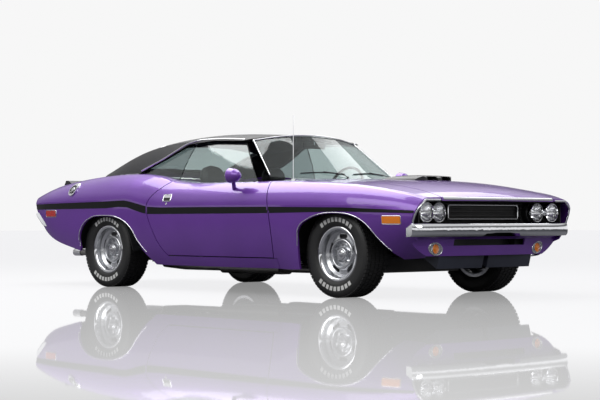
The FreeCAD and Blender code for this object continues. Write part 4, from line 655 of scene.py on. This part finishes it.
bar_angles = []
for middle in (QUARTER, -QUARTER):
    for k in range(BARS):
        first = middle + (k - BARS / 2) * BAR_STEP
        bar_angles += [*even(first, first + BAR_STEP * BAR_SHARE, 5), None]
for label, body, side, centre in WHEELS:
    name = "casing_" + label
    casing_piece = turned(name, casing_outline, centre, (0, 1, 0), rubber, body, 120, 0.5)
    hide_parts("tyre_" + label)
    rows = [grown("tread", block_ring, Count=BLOCKS, Ring_Radius=TREAD_RADIUS,
                  Phase=k % 2 * math.pi / BLOCKS, Part_Size=BLOCK, Turn=(QUARTER, 0, 0),
                  Centre=centre + Vector((0, across * TYRE_HALF, 0)), Finish=rubber)
            for k, across in enumerate(TREAD_ROWS)]
    piece("tread_" + label, merged("tread_" + label, rows), rubber, body)
    grid = []
    for radius in even(BAR_LOW, BAR_HIGH, 4):
        out = side * (sidewall(radius) + BAR_LIFT)
        grid.append([None if angle is None else centre + Vector(
            (radius * math.cos(angle), out, radius * math.sin(angle))) for angle in bar_angles])
    sheet("raised_bars_" + label, grid, BAR_WALL, raised_white, body)
print("tyres dressed:", made("casing_"), "bars a wheel:", 2 * BARS)

# %% [markdown]
# ## Wheels
#
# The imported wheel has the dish, the five slots and the barrel. On the real wheel a polished trim
# ring is clipped over the rim's edge, the ridge around the nuts is bright, and a domed cap closes
# the hub. These are turned shapes, so they are lathed; the nuts repeat, so the ring tree sets them.

# %% Trim rings, ridges, caps and nuts
FACE = 0.019
RIM = in_mm((86.5, 176), (90.5, 178.5), (95.5, 186), (98, 194), (97.5, 201), (95, 205.2),
            (93.5, 204.5), (94.5, 198), (92.5, 190), (87, 180))
RIDGE = in_mm((27, 93), (33.5, 96.5), (35, 101), (34.5, 107.5), (31.5, 113), (26, 115.5),
              (24, 108), (24, 98))
CAP = in_mm((0, 0), (0, 48), (30, 47.5), (35, 44), (37, 40), (36.5, 30), (41, 24), (43, 12),
            (43.5, 0))
NUT_RING, NUT_R, NUT_DEPTH = 65 * MM, 10.5 * MM, 26 * MM
for label, body, side, centre in WHEELS:
    face, axis = centre + Vector((0, side * FACE, 0)), (0, side, 0)
    turned("trim_ring_" + label, RIM, centre, axis, chrome, body)
    turned("bright_ridge_" + label, RIDGE, face, axis, polished, body)
    turned("hub_cap_" + label, CAP, face, axis, polished, body, 64, 0.6)
    grown_piece("nuts_" + label, nut_ring, chrome, face + Vector((0, side * 8 * MM, 0)), body, 0.3,
                Count=5, Ring_Radius=NUT_RING, Phase=math.pi / 10, Sides=6, Part_Radius=NUT_R,
                Part_Depth=NUT_DEPTH, Turn=(QUARTER, 0, 0))
print("wheels dressed:", made("hub_cap_"))

# %% [markdown]
# ## Side stripes
#
# A wide black stripe of film runs under the crease of the body, climbs over the rear wheel and
# thins out at the nose. Film follows the panel exactly and stops at every gap, so each panel gets
# its own sheet, laid down by rays and moving with that panel: fender, door and quarter.

# %% Stripe sheets: heights of both edges along the car
stripe_top = table([
    (-2.4, 0.706), (-2.068, 0.714), (-1.135, 0.729), (-0.96, 0.735), (-0.883, 0.736),
    (-0.814, 0.727), (-0.678, 0.701), (-0.571, 0.681), (-0.412, 0.675), (0.1, 0.676),
    (0.931, 0.674), (1.691, 0.666), (2.3, 0.643), (2.408, 0.637)])
stripe_low = table([
    (-2.4, 0.664), (-2.068, 0.665), (-1.135, 0.671), (-0.96, 0.682), (-0.842, 0.677),
    (-0.74, 0.652), (-0.64, 0.63), (-0.571, 0.622), (-0.412, 0.621), (0.1, 0.623),
    (0.931, 0.626), (1.691, 0.635), (2.3, 0.622), (2.408, 0.62)])
for hand, side in SIDES:
    for node, body, x0, x1 in (("front_fenders", "root", 0.9, 2.405),
                               (f"door_{hand}", f"door_{hand}_body", -0.6, 0.93),
                               ("quarter_panels", "root", -2.36, -0.42)):
        side_sheet("stripe_" + node.split("_")[0] + "_" + hand, node, side, x0, x1,
                   stripe_low, stripe_top, 1.3, 1.0, stripe_film, body)
print("stripe pieces:", made("stripe_"))

# %% [markdown]
# ## Bright mouldings
#
# Thin polished strips finish the edges: the drip rail over the side windows, the frames of the
# windshield and the backlight, the lips of the wheel openings and the hood's lip.
# Each is a half-round outline swept along points that a ray put on the metal beside the edge.

# %% Lips of the wheel openings and drip rails, as shares of half the length and of the height
HALF_LENGTH, HALF_WIDTH, HEIGHT = 2.43, 0.9665, 1.293
FRONT_ARCH = [(0.507, 0.295), (0.508, 0.33), (0.513, 0.398), (0.557, 0.449), (0.61, 0.475),
              (0.679, 0.481), (0.743, 0.466), (0.793, 0.4215), (0.834, 0.333), (0.856, 0.27)]
REAR_ARCH = [(-0.627, 0.27), (-0.63, 0.336), (-0.6085, 0.402), (-0.561, 0.4525),
             (-0.478, 0.4687), (-0.397, 0.4525), (-0.3345, 0.391), (-0.301, 0.308),
             (-0.262, 0.235)]
WINDOW_TOP = [(0.112, 0.9335), (-0.04, 0.9435), (-0.16, 0.9265), (-0.215, 0.882),
              (-0.271, 0.834), (-0.386, 0.757)]


def edge_points(shares, side, node, grow):
    """Path beside an opening's edge, given as shares seen from the side, laid on a node."""
    flat = smooth_path([(x * HALF_LENGTH, 0, z * HEIGHT) for x, z in shares], 8)
    path = []
    for k, place in enumerate(flat):
        along = (flat[min(k + 1, len(flat) - 1)] - flat[max(k - 1, 0)]).normalized()
        off = Vector((-along.z, 0, along.x)) * grow
        path.append(side_hit(node, place.x + off.x, place.z + off.z, side))
    return path


for hand, side in SIDES:
    for name, shares, node, width, height, grow in (
            ("arch_lip_front_", FRONT_ARCH, "front_fenders", 7, 3.5, 5 * MM),
            ("arch_lip_rear_", REAR_ARCH, "quarter_panels", 7, 3.5, 5 * MM),
            ("drip_rail_", WINDOW_TOP, "roof", 13, 9, -9 * MM)):
        path = edge_points(shares, side, node, grow)
        strip(name + hand, path, half_round(width, height), chrome)
        print(name + hand, len(path), "places")

# %% Windshield frame: corners of its foot and head, and the middle of its head
FOOT_CORNER = Vector((0.262 * HALF_LENGTH, 0.712 * HALF_WIDTH, 0.713 * HEIGHT))
HEAD_CORNER = Vector((0.124 * HALF_LENGTH, 0.584 * HALF_WIDTH, 0.936 * HEIGHT))
HEAD_MIDDLE = Vector((0.153 * HALF_LENGTH, 0, 0.976 * HEIGHT))
half = HEAD_CORNER.lerp(HEAD_MIDDLE, 0.75)
half.y = HEAD_CORNER.y / 2
head = [HEAD_CORNER, half, HEAD_MIDDLE, *[Vector((p.x, -p.y, p.z)) for p in (half, HEAD_CORNER)]]
head = smooth_path([p + Vector((6 * MM, 0, 3 * MM)) for p in head], 10)
strip("windshield_head", [(p, Vector((0.75, 0, 0.66))) for p in head], half_round(10, 5), chrome)
for hand, side in SIDES:
    path = []
    for share in even(0, 1, 15):
        p = FOOT_CORNER.lerp(HEAD_CORNER, share) + Vector((8 * MM, 4 * MM, 3 * MM))
        path.append((Vector((p.x, side * p.y, p.z)), Vector((0.7, side * 0.5, 0.5))))
    strip("windshield_post_" + hand, path, half_round(9, 6), chrome)
print("windshield strips:", made("windshield_"))

# %% Backlight frame and the vinyl's lower edge
GLASS_FRONT, FRAME_GROW = -0.365, 7 * MM
BACK_CORNERS = [(-0.59, 0.6), (-0.4775, 0.58), (GLASS_FRONT, 0.56), (GLASS_FRONT, 0.0),
                (GLASS_FRONT, -0.56), (-0.4775, -0.58), (-0.59, -0.6)]
for hand, side in SIDES:
    seam = []
    for x in even(-0.965, -1.51, 46):
        column = [side_hit("roof", x, 1.06 - 3 * MM * k, side) for k in range(54)]
        seam += [found for found in column if found and abs(found[0].y) > 0.5][-1:]
    strip("vinyl_edge_" + hand, seam, half_round(8, 4), chrome)
    print("vinyl_edge_" + hand, len(seam), "places")
path = []
for (x0, y0), (x1, y1) in zip(BACK_CORNERS, BACK_CORNERS[1:]):
    for x, y in list(zip(even(x0, x1, 13), even(y0, y1, 13)))[:-1]:
        grow_x = FRAME_GROW if abs(x - GLASS_FRONT) < 0.002 else 0
        grow_y = math.copysign(FRAME_GROW, y) if abs(y) > 0.55 else 0
        path.append(from_above("roof", x * HALF_LENGTH + grow_x, y * HALF_WIDTH + grow_y))
strip("backlight_frame", path, half_round(13, 5), chrome)
print("backlight frame places:", len(path))

# %% Hood lip and the strips around the lamps
NOSE_X, CORNER_Y, CORNER_Z = 2.15, 0.782, 0.698
strip("hood_lip", [from_front("hood", y, 0.728) for y in even(-0.612, 0.612, 49)],
      half_round(24, 6), chrome, "hood_body")


def first_hit(node, places):
    """First of a row of places, seen from the front, where a node's nose is met."""
    rays = (from_front(node, y, z) for y, z in places)
    return next((found for found in rays if found and found[0].x > NOSE_X), None)


for hand, side in SIDES:
    path = [first_hit("front_fenders", [(side * y, CORNER_Z + MM * k) for k in range(40)])
            for y in even(0.626, CORNER_Y, 10)]
    path += [first_hit("front_fenders", [(side * (CORNER_Y + 2 * MM * k), z) for k in range(60)])
             for z in even(0.7, 0.555, 16)]
    places = smooth_path([found[0] for found in path if found], 2)
    strip("lamp_surround_" + hand, [(p, Vector((0.9, side * 0.25, 0.2))) for p in places],
          half_round(16, 7), chrome)
print("lamp surrounds:", made("lamp_surround_"))

# %% [markdown]
# ## Headlamps
#
# A sealed-beam lamp is a silvered bowl closed by a fluted glass and held by a bright ring. In the
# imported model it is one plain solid, so it is replaced here. Bowl, glass and ring are outlines
# turned about the same axis; the flutes are so fine that a wave bump draws them.

# %% Headlamps: places of one side, and the parts of one lamp
LAMPS = [(2.2878, 0.7036, 0.6297), (2.2648, 0.5519, 0.6284)]
LAMP_RING = in_mm((30, 64), (35, 66.5), (36, 70), (32, 74.5), (16, 76.5), (-10, 76.5), (-10, 72),
                  (20, 71), (24, 69), (25, 65))
LAMP_PARTS = {
    "headlamp_bowls": (dome(-66, 66, 20, 2), reflector),
    "headlamp_glasses": (dome(11, 68, 22, 4), fluted_glass),
    "headlamp_bulbs": (dome(12, 10, -22, 12), polished),
    "headlamp_rings": (LAMP_RING, chrome)}
for name, (outline, material) in LAMP_PARTS.items():
    parts = [lathe(name, outline, (x, side * y, z), (1, 0, 0), 72)
             for x, y, z in LAMPS for _, side in SIDES]
    lamp_piece = piece(name, merged(name, parts), material, "root", 0.6)
    if name == "headlamp_bowls":
        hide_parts("headlamps")
print("headlamps:", 2 * len(LAMPS), "kinds of parts:", made("headlamp_"))

# %% [markdown]
# ## Grille
#
# The grille is a dark nest of thin bars with one bright frame standing in front of it. Bars
# repeat along a line, so the tree with a line of points sets them, one bar on each.
# The frame is a half-round strip carried round a rectangle with rounded corners.

# %% Grille bars and the bright frame: count, start, step and size of a row
BAR_ROWS = {
    "grille_uprights": (71, (2.212, -0.455, 0.622), (0, 13 * MM, 0), (8 * MM, 2 * MM, 172 * MM)),
    "grille_slats": (6, (2.213, 0, 0.551), (0, 0, 28 * MM), (11 * MM, 0.924, 3 * MM))}
FRAME_X, FRAME_Z = 2.24, 0.632
for name, (count, start, step, size) in BAR_ROWS.items():
    grown_piece(name, bar_row, satin_black, (0, 0, 0), Count=count, Start=start, Step=step,
                Part_Size=size, Turn=(0, 0, 0))
frame_path = [(Vector((FRAME_X, y, FRAME_Z + z)), Vector((1, 0, 0)))
              for y, z in rounded(0.391, 0.0515, 0.02)]
strip("grille_frame", frame_path, half_round(9, 4), chrome, closed=True)
print("grille pieces:", made("grille_"))

# %% [markdown]
# ## Small bright parts
#
# Marker lamps, parking lamps, door handles, the filler cap and the mirrors each have a bright
# edge a few millimetres wide. These edges are the same half-round strip, laid on the panel by
# rays around the part, so that they follow the panel's curve and never float.

# %% Rings laid on the side and on the valance
def side_ring(name, node, side, x, z, half_x, half_z, width, body="root"):
    """Bright edge around a rectangle on the side of a node; its half sizes are in mm."""
    ring = rounded(half_x * MM, half_z * MM, 8 * MM)
    path = [side_hit(node, x + u, z + v, side) for u, v in ring]
    strip(name, path, half_round(width, 5), chrome, body, closed=True)


PARK_Y, PARK_Z, PARK_TILT = 0.571, 0.366, math.radians(14)
PARK_RING = in_mm((-1, 33), (16, 33), (18, 35), (15, 38), (-1, 39))


def on_valance(half_u, half_v, side):
    """Hits on the valance round a tilted oval about a parking lamp."""
    cos, sin = math.cos(PARK_TILT), math.sin(PARK_TILT)
    return [from_front("front_valance", side * (PARK_Y + u * cos - v * sin),
                       PARK_Z + u * sin + v * cos) for u, v in ellipse(half_u, half_v, 48)]


# %% Marker lamps, and parking lamps with a dish laid between two ovals, a glass and a ring
for hand, side in SIDES:
    side_ring("amber_marker_edge_" + hand, "front_fenders", side, 2.1675, 0.574, 82, 29, 7)
    side_ring("red_marker_edge_" + hand, "quarter_panels", side, -1.9805, 0.628, 87, 29, 7)
    oval = on_valance(66 * MM, 43 * MM, side)
    strip("parking_lamp_edge_" + hand, oval, half_round(9, 6), chrome, closed=True)
    grid = []
    for half_u, half_v in ((36 * MM, 36 * MM), (50 * MM, 38.5 * MM), (64 * MM, 41 * MM)):
        line = [lifted(found, 1.5) for found in on_valance(half_u, half_v, side)]
        grid.append(line + line[:1])
    sheet("parking_lamp_dish_" + hand, grid, 1, polished, sharp=1.0)
    face = from_front("amber_lamps", side * PARK_Y, PARK_Z)[0]
    turned("parking_lamp_glass_" + hand, dome(9, 33, 8, 9), face,
           (1, 0, 0), amber, steps=64, sharp=0.6)
    turned("parking_lamp_ring_" + hand, PARK_RING, face, (1, 0, 0), chrome, steps=64)
    print("parking lamp", hand, "at x", round(face.x, 3))

# %% Door handles, locks and mirror faces
HANDLE_X, HANDLE_Z = -0.336, 0.752
MIRROR = Vector((0.476, 0.954, 0.919))
LOCK = in_mm((0, 0), (0, 10), (2.5, 9.5), (3, 8), (2.2, 7), (2.2, 0))
MIRROR_FACE = in_mm((0, 0), (3, 0), (3, 51), (0, 51))
MIRROR_EDGE = in_mm((-2, 58), (4, 57.5), (6, 55), (5, 51.5), (-1, 50.5))
for hand, side in SIDES:
    door, body = f"door_{hand}", f"door_{hand}_body"
    side_ring("handle_edge_" + hand, door, side, HANDLE_X, HANDLE_Z, 47, 27, 8, body)
    # The first sheet is painted shade: a flat matt black patch on the door where the handle's
    # hollow lies in shade.
    for name, half_x, low, high, lift, wall, material in (
            ("handle_painted_shade_", 44 * MM, -24 * MM, 24 * MM, 1.2, 0.8, matt_black),
            ("handle_flap_", 41 * MM, 0.0, 22 * MM, 4.5, 3.4, chrome)):
        side_sheet(name + hand, door, side, HANDLE_X - half_x, HANDLE_X + half_x,
                   lambda x: HANDLE_Z + low, lambda x: HANDLE_Z + high, lift, wall, material, body)
    lock = side_hit(door, HANDLE_X, HANDLE_Z - 46 * MM, side)
    turned("door_lock_" + hand, LOCK, *lock, chrome, body, 40, 0.6)
    centre = Vector((MIRROR.x, side * MIRROR.y, MIRROR.z))
    turned("mirror_face_" + hand, MIRROR_FACE, centre, (-1, 0, 0), mirror_silver, body, 72, 0.5)
    turned("mirror_edge_" + hand, MIRROR_EDGE, centre, (-1, 0, 0), chrome, body, 72)
print("handles:", made("handle_flap_"), "mirrors:", made("mirror_face_"))

# %% Filler cap
BAND = in_mm((-1, 29), (2.5, 30), (2.5, 42), (-1, 43))
HUB = in_mm((0, 0), (0, 24), (3, 23), (5.5, 17), (6, 0))
cap_place, cap_out = side_hit("fuel_cap", -1.669, 0.839, -1)
turned("filler_band", BAND, cap_place, cap_out, satin_black, steps=72, sharp=0.5)
turned("filler_hub", HUB, cap_place, cap_out, polished, steps=64, sharp=0.5)
grown_piece("filler_screws", nut_ring, polished, cap_place + cap_out * 0.5 * MM, sharp=0.4,
            Count=8, Ring_Radius=47.5 * MM, Phase=0.2, Sides=12, Part_Radius=3.2 * MM,
            Part_Depth=4 * MM, Turn=tuple(cap_out.to_track_quat("Z", "X").to_euler()))
print("filler cap faces", [round(v, 2) for v in cap_out])

# %% [markdown]
# ## Wipers and the inner mirror
#
# The wipers park along the foot of the windshield: an arm from a pivot in the cowl to the middle
# of a thin rubber blade. Both follow the curved glass, so their paths are rays on the glass.

# %% Wipers
PIVOT = in_mm((-2, 0), (-2, 12), (6, 11), (14, 8), (22, 6), (23, 0))
for name, start_y, end_y in (("driver", 0.56, 0.12), ("passenger", 0.02, -0.42)):
    rays = [from_front("fixed_glass", y, 0.938 + 0.01 * math.sin(angle))
            for y, angle in zip(even(start_y, end_y, 17), even(0, math.pi, 17))]
    blade = [(lifted(found, 1.5), found[1]) for found in rays if found]
    strip("wiper_blade_" + name, blade, half_round(5, 9), rubber, sharp=0.8)
    pivot, _ = from_above("cowl", 0.79, start_y)
    tip = lifted(blade[len(blade) // 2], 14)
    arm = smooth_path([pivot, pivot + Vector((-8 * MM, -10 * MM, 22 * MM)), tip], 8)
    strip("wiper_arm_" + name, [(p, Vector((0.5, 0, 0.8))) for p in arm],
          half_round(7, 3.5, 2), satin_black)
    turned("wiper_pivot_" + name, PIVOT, pivot, (0, 0, 1), satin_black, steps=32, sharp=0.6)
print("wipers:", made("wiper_blade_"))

# %% Inner mirror on its stem
PLATE = ellipse(26 * MM, 8 * MM, 20)
glass_back = [(Vector((0.415, y, 1.18 - 0.004 * abs(bend))), Vector((-1, 0, -0.1)))
              for y, bend in zip(even(-0.115, 0.115, 13), even(-1, 1, 13))]
strip("inner_mirror", glass_back, PLATE, satin_black, sharp=0.8)
stem = smooth_path([Vector((0.418, 0, 1.185)), Vector((0.412, 0, 1.215)),
                    Vector((0.385, 0, 1.243))], 4)
strip("inner_mirror_stem", [(p, Vector((1, 0, 0.5))) for p in stem],
      [(a * 0.25, b * 0.75) for a, b in PLATE], polished, sharp=0.8)
print("inner mirror pieces:", made("inner_mirror"))

# %% [markdown]
# ## Seats
#
# A seat is foam under vinyl: a crowned cushion, thinner at its edges, whose sides pull in a
# little, with a sewn border and upright channels in its middle. Each pad is a closed shell over
# a bent middle line. Its thickness is a smooth formula, and the seams are narrow grooves in that
# formula, so they stay sharp, which a cloth simulation on a coarse mesh would lose.

# %% Thickness of a pad
CROWN, GROOVE = 0.16, 7 * MM
BORDER_U, BORDER_W = 0.76, 0.78
CHANNEL_WIDTH, BORDER_WIDTH, BORDER_DEPTH = 0.024, 0.03, 1.1


def edge(w):
    """Share of the full thickness at w, from 1 in the middle to 0 at an edge."""
    return max(0.0, 1.0 - abs(w) ** 5) ** 0.45


def sewn(u, w, channels):
    """Depth of the seams, as shares of a groove: upright channels inside a sewn border."""
    border = ((abs(u) / BORDER_U) ** 8 + (abs(w) / BORDER_W) ** 8) ** 0.125
    inside = 1 / (1 + math.exp(min(40.0, (border - 0.95) / 0.015)))
    depth = sum(math.exp(-((u - c) / CHANNEL_WIDTH) ** 2) for c in channels) * inside
    return depth + BORDER_DEPTH * math.exp(-((border - 1) / BORDER_WIDTH) ** 2)


# %% Pads and hard bases
def pad(name, line, half_width, centre_y, channels, across=96, along=72, roundness=0.35):
    """Padded shell over a middle line of (x, z, half thickness), facing up or forward."""
    spine = smooth_path([(x, 0, z) for x, z, _ in line], 24)
    thick = table([(i / (len(line) - 1), t) for i, (_, _, t) in enumerate(line)])
    reach = sum((b - a).length for a, b in zip(spine, spine[1:])) / 2
    points, width = [], across + 1
    for face_side in (1, -1):
        for v in even(0, 1, along + 1):
            at = v * (len(spine) - 1)
            i = min(int(at), len(spine) - 2)
            place = spine[i].lerp(spine[i + 1], at - i)
            run = (spine[i + 1] - spine[i]).normalized()
            up = Vector((run.z, 0, -run.x))
            w = 2 * v - 1
            for u in even(-1, 1, width):
                full = thick(v) * edge(u) * edge(w)
                if face_side > 0:
                    full *= 1 + CROWN * (1 - u * u) * (1 - w * w)
                    full -= GROOVE * sewn(u, w, channels) * edge(u) * edge(w)
                pull = (1 - 0.035 * (1 - w * w)) * math.sqrt(1 - roundness * w * w / 2)
                sink = run * (w * (math.sqrt(1 - roundness * u * u / 2) - 1) * reach)
                out = Vector((0, centre_y + u * half_width * pull, 0))
                points.append(place + sink + up * (full * face_side) + out)
    faces = [(a, a + 1, a + width + 1, a + width) for a in range(len(points))
             if a % width < across and a // width % (along + 1) < along]
    cushion = piece(name, mesh_of(name, points, faces), leather, "root", 1.2)
    return cushion


def base(name, outline, y0, y1):
    """Hard block of an outline seen from the side, between two widths, with eased edges."""
    count = len(outline)
    points = [Vector((x, y, z)) for y in (y0, y1) for x, z in outline]
    faces = [tuple(range(count)), tuple(range(count, 2 * count)), *bands(2, count, False)]
    mesh = mesh_of(name, points, faces)
    work = bmesh.new()
    work.from_mesh(mesh)
    bmesh.ops.bevel(work, geom=work.edges[:], offset=6 * MM, segments=2, affect="EDGES",
                    clamp_overlap=True)
    work.to_mesh(mesh)
    work.free()
    piece(name, mesh, matt_black, "root")


# %% Front seats and rear bench: middle lines of (x, z, half thickness)
SEAT_Y, SEAT_HALF, BENCH_HALF = 0.345, 0.243, 0.555
CUSHION = [(0.122, 0.405, 0.052), (-0.05, 0.408, 0.055), (-0.225, 0.388, 0.06)]
BACK = [(-0.3, 0.375, 0.06), (-0.352, 0.56, 0.066), (-0.43, 0.78, 0.056), (-0.462, 0.868, 0.04)]
HEADREST = [(-0.458, 0.85, 0.032), (-0.462, 0.93, 0.042), (-0.472, 1.03, 0.034)]
BENCH = [(-0.64, 0.395, 0.05), (-0.8, 0.39, 0.055), (-0.935, 0.372, 0.052)]
BENCH_BACK = [(-0.985, 0.42, 0.052), (-1.03, 0.6, 0.056), (-1.09, 0.8, 0.036)]
channels, bench_channels = even(-0.6, 0.6, 7), even(-0.7, 0.7, 15)
for hand, side in SIDES:
    y = side * SEAT_Y
    cushion = pad("seat_cushion_" + hand, CUSHION, SEAT_HALF, y, channels)
    pad("seat_back_" + hand, BACK, SEAT_HALF, y, channels, roundness=0.6)
    pad("seat_headrest_" + hand, HEADREST, 0.128, y, [], roundness=0.95)
    base("seat_base_" + hand, [(0.1, 0.25), (0.1, 0.35), (-0.33, 0.34), (-0.36, 0.25)],
         y - 0.19, y + 0.19)
    if side > 0:
        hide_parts("front_seats")
bench = pad("bench_cushion", BENCH, BENCH_HALF, 0.0, bench_channels, across=150)
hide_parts("rear_seat")
pad("bench_back", BENCH_BACK, BENCH_HALF, 0.0, bench_channels, across=150)
base("bench_base", [(-0.66, 0.25), (-0.66, 0.34), (-0.94, 0.325), (-0.94, 0.25)], -0.5, 0.5)
print("seat pieces:", made("seat_"), "bench pieces:", made("bench_"))

# %% [markdown]
# ## Dashboard, doors inside and shift lever
#
# Through the glass one sees round gauges with bright rings, a row of dial marks, door panels with
# an armrest, and a shift lever. The gauges are turned rings; the marks are generic dial marks set
# by the ring tree; the door panel is a sheet laid on the inner wall by rays from the cabin.

# %% Gauges
DASH_Z, DASH_START_X, AFT = 0.722, -0.3, (-1, 0, 0)
GAUGE_FACE = in_mm((0, 0), (3, 0), (3, 41), (0, 41))
GAUGE_RING = in_mm((0, 40), (9, 41), (10, 43), (8, 46), (0, 47))
KNOB = in_mm((0, 0), (0, 12), (14, 10), (16, 8), (16, 0))


def on_dash(y, z=0.0):
    """Hit of a ray that goes forward from the seats to the dashboard."""
    return hit("dashboard", (DASH_START_X, y, DASH_Z + z), (1, 0, 0))


for k, y in enumerate((0.215, 0.318, 0.421, 0.524)):
    name, place = "gauge_" + str(k + 1), on_dash(y)[0]
    turned(name + "_face", GAUGE_FACE, place, AFT, matt_black, steps=48, sharp=0.5)
    turned(name + "_ring", GAUGE_RING, place, AFT, chrome, steps=64)
    grown_piece(name + "_marks", block_ring, raised_white, place + Vector((-3.2 * MM, 0, 0)),
                Count=24, Ring_Radius=33 * MM, Phase=0.0, Part_Size=(6 * MM, 1.2 * MM, 1 * MM),
                Turn=(0, QUARTER, 0))
    needle = [place + Vector((-4.5 * MM, 0, 0)),
              place + Vector((-4.5 * MM, 20 * MM, 17 * MM - k * 6 * MM))]
    strip(name + "_hand", [(p, Vector(AFT)) for p in needle], half_round(2, 1), amber, sharp=0.5)
print("gauge pieces:", made("gauge_"))

# %% Edges and knobs on the dashboard
for name, y, half_y, half_z in (("radio_edge", 0.0, 0.09, 0.028),
                                ("glovebox_edge", -0.4, 0.17, 0.04)):
    path = [on_dash(y + u, v) for u, v in rounded(half_y, half_z, 0.01)]
    strip(name, path, half_round(5, 3), chrome, closed=True)
for name, y in (("radio_knob_1", -0.062), ("radio_knob_2", 0.062)):
    turned(name, KNOB, on_dash(y)[0], AFT, polished, steps=32, sharp=0.6)
print("radio pieces:", made("radio_"))

# %% Door panels, armrests and window cranks
INNER_WALL_Y, FACES_SIDE = 0.86, 0.5
CRANK_HUB = in_mm((0, 0), (0, 16), (14, 13), (18, 9), (18, 0))


def panel_place(node, x, z, side):
    """Place over the inner wall of a door, or None where the ray met something else."""
    found = from_cabin(node, x, z, side)
    if found and abs(found[0].y) < INNER_WALL_Y and abs(found[1].y) > FACES_SIDE:
        return lifted(found, 4)
    return None


for hand, side in SIDES:
    door, body = f"door_{hand}", f"door_{hand}_body"
    grid = [[panel_place(door, x, z, side) for z in even(0.34, 0.82, 15)]
            for x in even(-0.5, 0.78, 41)]
    sheet("door_panel_" + hand, grid, 3, leather, body, 0.9)
    strip("armrest_" + hand, [from_cabin(door, x, 0.61, side) for x in even(-0.24, 0.26, 21)],
          half_round(62, 46), leather, body)
    place, out = from_cabin(door, 0.22, 0.52, side)
    crank = [place + out * 12 * MM, place + out * 16 * MM + Vector((-0.09, 0, 0.02))]
    strip("window_crank_" + hand, [(p, out) for p in crank], half_round(12, 6, 3), chrome, body)
    turned("crank_hub_" + hand, CRANK_HUB, place, out, chrome, body, 32, 0.6)
print("door panels:", made("door_panel_"), "cranks:", made("window_crank_"))

# %% Shift lever with its knob and boot
BALL = [(24 * MM * math.cos(math.pi - angle), 24 * MM * math.sin(angle))
        for angle in even(0, math.pi, 17)]
BOOT = in_mm((-4, 0), (-4, 70), (4, 68), (12, 48), (22, 40), (34, 24), (52, 12), (60, 5), (60, 0))
UP = (0, 0, 1)
foot = from_above("floor_pan", 0.2, 0.0)[0]
stick = smooth_path([foot - Vector((0, 0, 4 * MM)), foot + Vector((-0.01, 0, 0.12)),
                     foot + Vector((-0.045, 0, 0.235))], 8)
strip("shift_lever", [(p, Vector((1, 0, 0))) for p in stick], ellipse(5 * MM, 5 * MM, 12), chrome,
      sharp=0.8)
turned("shift_knob", BALL, stick[-1], UP, satin_black, steps=40, sharp=0.8)
turned("shift_boot", BOOT, foot, UP, rubber, steps=56, sharp=0.8)
print("shift lever pieces:", made("shift_"))

# %% [markdown]
# ## The rear
#
# Behind, one lamp band runs across the tail between bright edges, with thin ribs and a pale
# middle for the reversing lamps. The tail leans, so every strip is laid on it by rays from
# behind. The exhaust ends get polished sleeves, which are turned outlines.

# %% Tail lamps: each part lies between two places across the car
TAIL_Z, TAIL_HALF_Z = 0.7305, 0.05
TAIL_PARTS = {"left": (0.235, 0.7), "middle": (-0.225, 0.225), "right": (-0.7, -0.235)}
for name, (y0, y1) in TAIL_PARTS.items():
    ring = rounded((y1 - y0) / 2, TAIL_HALF_Z, 0.012)
    path = [from_behind("red_lamps", (y0 + y1) / 2 + u, TAIL_Z + v) for u, v in ring]
    strip("tail_edge_" + name, path, half_round(8, 5), chrome, closed=True)
    across = even(y0, y1, 25)
    ribs = [sweep("rib", [from_behind("red_lamps", y, z) for y in across],
                  half_round(4, 3))
            for z in even(TAIL_Z - TAIL_HALF_Z, TAIL_Z + TAIL_HALF_Z, 7)[1:-1]]
    lens = white_lens if name == "middle" else red
    piece("tail_ribs_" + name, merged("tail_ribs_" + name, ribs), lens, "root", 1.0)
    if name == "middle":
        reach = TAIL_HALF_Z * 0.98
        grid = [[lifted(from_behind("red_lamps", y, z), 1.6) for y in across]
                for z in even(TAIL_Z - reach, TAIL_Z + reach, 7)]
        sheet("reversing_lens", grid, 1.2, lens, sharp=0.9)
print("tail pieces:", made("tail_edge_") + made("tail_ribs_"))

# %% Exhaust ends
SLEEVE = in_mm((-100, 28.6), (4, 29.5), (7, 31.5), (4, 33), (-100, 32))
for hand, side in SIDES:
    turned("exhaust_end_" + hand, SLEEVE, (-2.248, side * 0.474, 0.278), AFT, chrome, steps=56)
print("exhaust ends:", made("exhaust_end_"))
